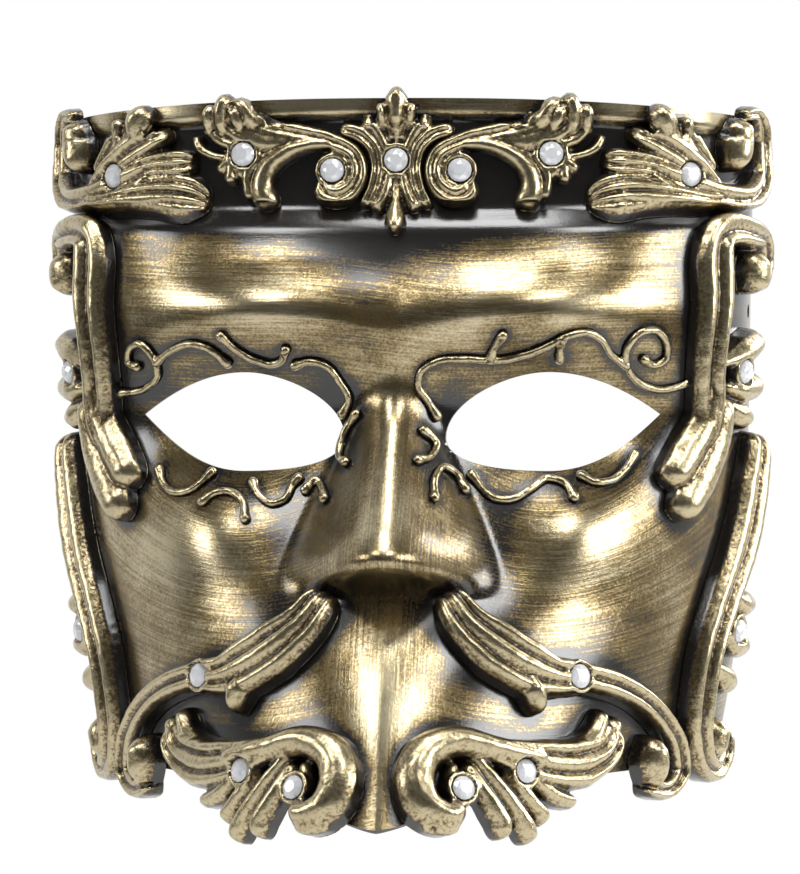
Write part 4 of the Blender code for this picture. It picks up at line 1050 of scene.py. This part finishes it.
RIGHT_FILIGREE = (
    (((-28, 2.1), (-29.9, 5.6), (-32.2, 9.75), (-31.2, 13.6), (-28, 15.8), (-19.7, 16.75), (-13.4, 16.4),
      (-5.1, 18), (0.7, 20.3), (5.1, 22.5), (10.2, 23.25), (13.4, 21.25), (15.3, 18), (18.8, 15.2)),
     ((-14.1, 17.0), (-12.7, 20), (-10.7, 22.5)),
     ((3.8, 21.6), (3, 19), (2.8, 16.8)),
     ((35.1, 11.65), (31.3, 9.75), (26.2, 9.1), (21.7, 11), (19.2, 14.85), (19.2, 19.3), (22.4, 23.15),
      (26.2, 23.75), (28.7, 20.6), (28.4, 16.75), (25.5, 15.2), (23.3, 16.5))),
    (((-31, -1.6), (-28, -4.6), (-28.9, -8.1), (-31.7, -9)),),
    (((-27.2, -18.3), (-27.5, -13.5), (-25.2, -10.8), (-22.9, -12.3), (-20.4, -16.2)),),
    (((-18.8, -12.6), (-16.6, -15.4), (-13.3, -18.3), (-8.2, -18.6), (-4.4, -16.4), (0.1, -13.6),
      (4.1, -14.8), (6.6, -18.3)),),
    (((8, -12.9), (11.2, -14.5), (15, -14.2), (18.8, -11), (20.7, -7.5)),),
)
FILIGREE_FEET = []


def line_curve(name):
    curve = bpy.data.curves.new(name, 'CURVE')
    curve.dimensions = '3D'
    curve.bevel_depth = 1.0
    curve.bevel_resolution = 4
    curve.use_fill_caps = True
    return curve


def add_line(curve, places, radii):
    """Adds one round line to a curve, with its ends rounded off."""
    directions = np.gradient(places, axis=0)
    directions = directions / np.linalg.norm(directions, axis=1)[:, None]
    caps = [(cap, math.sqrt(1.0 - cap ** 2)) for cap in (0.97, 0.8, 0.45)]
    before = [(places[0] - directions[0] * radii[0] * far, radii[0] * small) for far, small in caps]
    after = [(places[-1] + directions[-1] * radii[-1] * far, radii[-1] * small) for far, small in caps[::-1]]
    rings = before + list(zip(places, radii)) + after
    line = curve.splines.new('POLY')
    line.points.add(len(rings) - 1)
    for point, (place, radius) in zip(line.points, rings):
        point.co = (*place, 1.0)
        point.radius = radius


def filigree_strand(name, sign, lines):
    """One squeezed strand, with a blob at each end, moulded over the shell."""
    curve = line_curve(name)
    for line in lines:
        knots = [fore(across, up, FILIGREE_RADIUS) for across, up in line]
        path, out, radii = rib_path(sign, (EYE_ACROSS, 0.0), knots)
        ends = np.minimum(np.arange(len(path)), np.arange(len(path))[::-1]) * PATH_STEP
        radii = radii * (MIDDLE_SHARE + BLOB_SWELL * np.exp(-(ends / BLOB_REACH) ** 2))
        add_line(curve, path + out * FILIGREE_LIFT, radii)
    mesh = melted(loose_object(name, baked(loose_object(name, curve))), FILIGREE_GRAIN)
    places = coordinates(mesh)
    out = height_and_slope(places)[1]
    places = seated(roughened(places, out, FILIGREE_WAVE, FILIGREE_WAVE_HEIGHT))
    set_places(mesh, places)
    height, _ = height_and_slope(places)
    paint_mask(mesh, "worn", 0.15 + 0.75 * smoothstep(0.3, 1.2, height))
    FILIGREE_FEET.append(feet(places, height, FILIGREE_FOOT_TOP))
    mesh.shade_smooth()
    dressed(name + "_line", mesh, (CARVED_GOLD,), (name,))


for side, sign, strands in (("left", -1.0, LEFT_FILIGREE), ("right", 1.0, RIGHT_FILIGREE)):
    for number, lines in enumerate(strands, start=1):
        filigree_strand(side + "_filigree_" + str(number), sign, lines)

# Black in the corners round the ornaments
# The brush can't reach the foot of an ornament, so the lacquer stays black in a line a few millimetres wide
# round each one, and narrower along the filigree. The shell's paint keeps that line as a mask.
POOL_FALL = 1.3
CARVED_POOL = (0.8, 2.0)
FILIGREE_POOL = (0.6, 1.0)


def pooled(places, cover, width):
    """Black left on the shell round places: most at them, and gone a few widths away."""
    places = np.concatenate(places)
    near = KDTree(len(places))
    for index, place in enumerate(places):
        near.insert(place, index)
    near.balance()
    far = np.array([near.find(place)[2] for place in shell_places])
    return cover * np.exp(-(far / width) ** POOL_FALL)


pooling = np.maximum(pooled(CARVED_FEET, *CARVED_POOL), pooled(FILIGREE_FEET, *FILIGREE_POOL))
paint_mask(shell.data, "pooling", pooling)

# Studio
# A pale floor under the mask and six softboxes round it: two high in front, one at each side, one behind
# its right side and one above. The background is white to the camera and in what the mask mirrors from
# behind, and otherwise glows faintly.
CAMERA_TURN = math.radians(5.5)
CAMERA_DISTANCE = 2.2
FRAME_WIDTH = 0.2
CAMERA_TARGET = Vector((0.0014, -0.055, -0.003))
LAMP_DISTANCE = 1.4
FAINT_GLOW = 0.1
FLOOR_HALF_WIDTH = 0.7
FLOOR_UP = -0.25
FLOOR_PALE = (0.9, 0.9, 0.9, 1.0)
camera_data = bpy.data.cameras.new("camera")
camera_data.sensor_fit = 'HORIZONTAL'
camera_data.sensor_width = 36.0
camera_data.lens = camera_data.sensor_width * CAMERA_DISTANCE / FRAME_WIDTH
camera = loose_object("camera", camera_data)
towards_camera = Vector((math.sin(CAMERA_TURN), -math.cos(CAMERA_TURN), 0.0))
camera.location = CAMERA_TARGET + CAMERA_DISTANCE * towards_camera
camera.rotation_euler = (math.pi / 2.0, 0.0, CAMERA_TURN)
bpy.context.scene.camera = camera


def softbox(name, turn, rise, size, power):
    """A lamp, turned from the mask's front to its left (-) or right and raised, both in degrees."""
    turn = math.radians(turn)
    rise = math.radians(rise)
    level_run = math.cos(rise)
    towards = Vector((math.sin(turn) * level_run, -math.cos(turn) * level_run, math.sin(rise)))
    lamp = bpy.data.lights.new(name, 'AREA')
    lamp.shape = 'RECTANGLE'
    lamp.size, lamp.size_y = size
    lamp.energy = power
    box = loose_object(name, lamp)
    box.location = CAMERA_TARGET + LAMP_DISTANCE * towards
    box.rotation_euler = towards.to_track_quat('Z', 'Y').to_euler()


softbox("softbox_upper_left", -32.0, 49.0, (0.35, 0.4), 5.5)
softbox("softbox_upper_right", 38.0, 46.0, (0.35, 0.4), 6.0)
softbox("softbox_left", -68.0, 17.0, (0.4, 0.55), 5.5)
softbox("softbox_right", 74.0, 15.0, (0.65, 0.6), 14.0)
softbox("softbox_behind", 126.0, 25.0, (0.5, 0.6), 14.0)
softbox("softbox_top", 10.0, 76.0, (0.5, 0.6), 11.0)

floor_shape = bmesh.new()
bmesh.ops.create_grid(floor_shape, x_segments=1, y_segments=1, size=FLOOR_HALF_WIDTH)
bmesh.ops.translate(floor_shape, vec=(0.0, 0.0, FLOOR_UP), verts=floor_shape.verts)
floor = bmesh_object("studio_floor", floor_shape)
floor_paint, _, floor_shader = new_material("studio_floor")
floor_shader.inputs["Base Color"].default_value = FLOOR_PALE
floor_shader.inputs["Roughness"].default_value = 0.9
floor.data.materials.append(floor_paint)

world = bpy.data.worlds.new("studio")
world.use_nodes = True
bpy.context.scene.world = world
world_tree = world.node_tree
background = world_tree.nodes["Background"]
rays = world_tree.nodes.new("ShaderNodeLightPath").outputs
direction = add(world_tree, "TexCoord", {}).outputs["Generated"]
behind = add(world_tree, "SeparateXYZ", {"Vector": direction}).outputs["Y"]
shiny = arithmetic(world_tree, 'MAXIMUM', rays["Is Glossy Ray"], rays["Is Transmission Ray"])
shine = arithmetic(world_tree, 'MULTIPLY', shiny, ramp(world_tree, behind, -0.1, 0.3))
white = arithmetic(world_tree, 'MAXIMUM', rays["Is Camera Ray"], shine)
world_tree.links.new(blend_values(world_tree, white, FAINT_GLOW, 1.0), background.inputs["Strength"])
background.inputs["Color"].default_value = (1.0, 1.0, 1.0, 1.0)
bpy.context.scene.view_settings.view_transform = 'Standard'
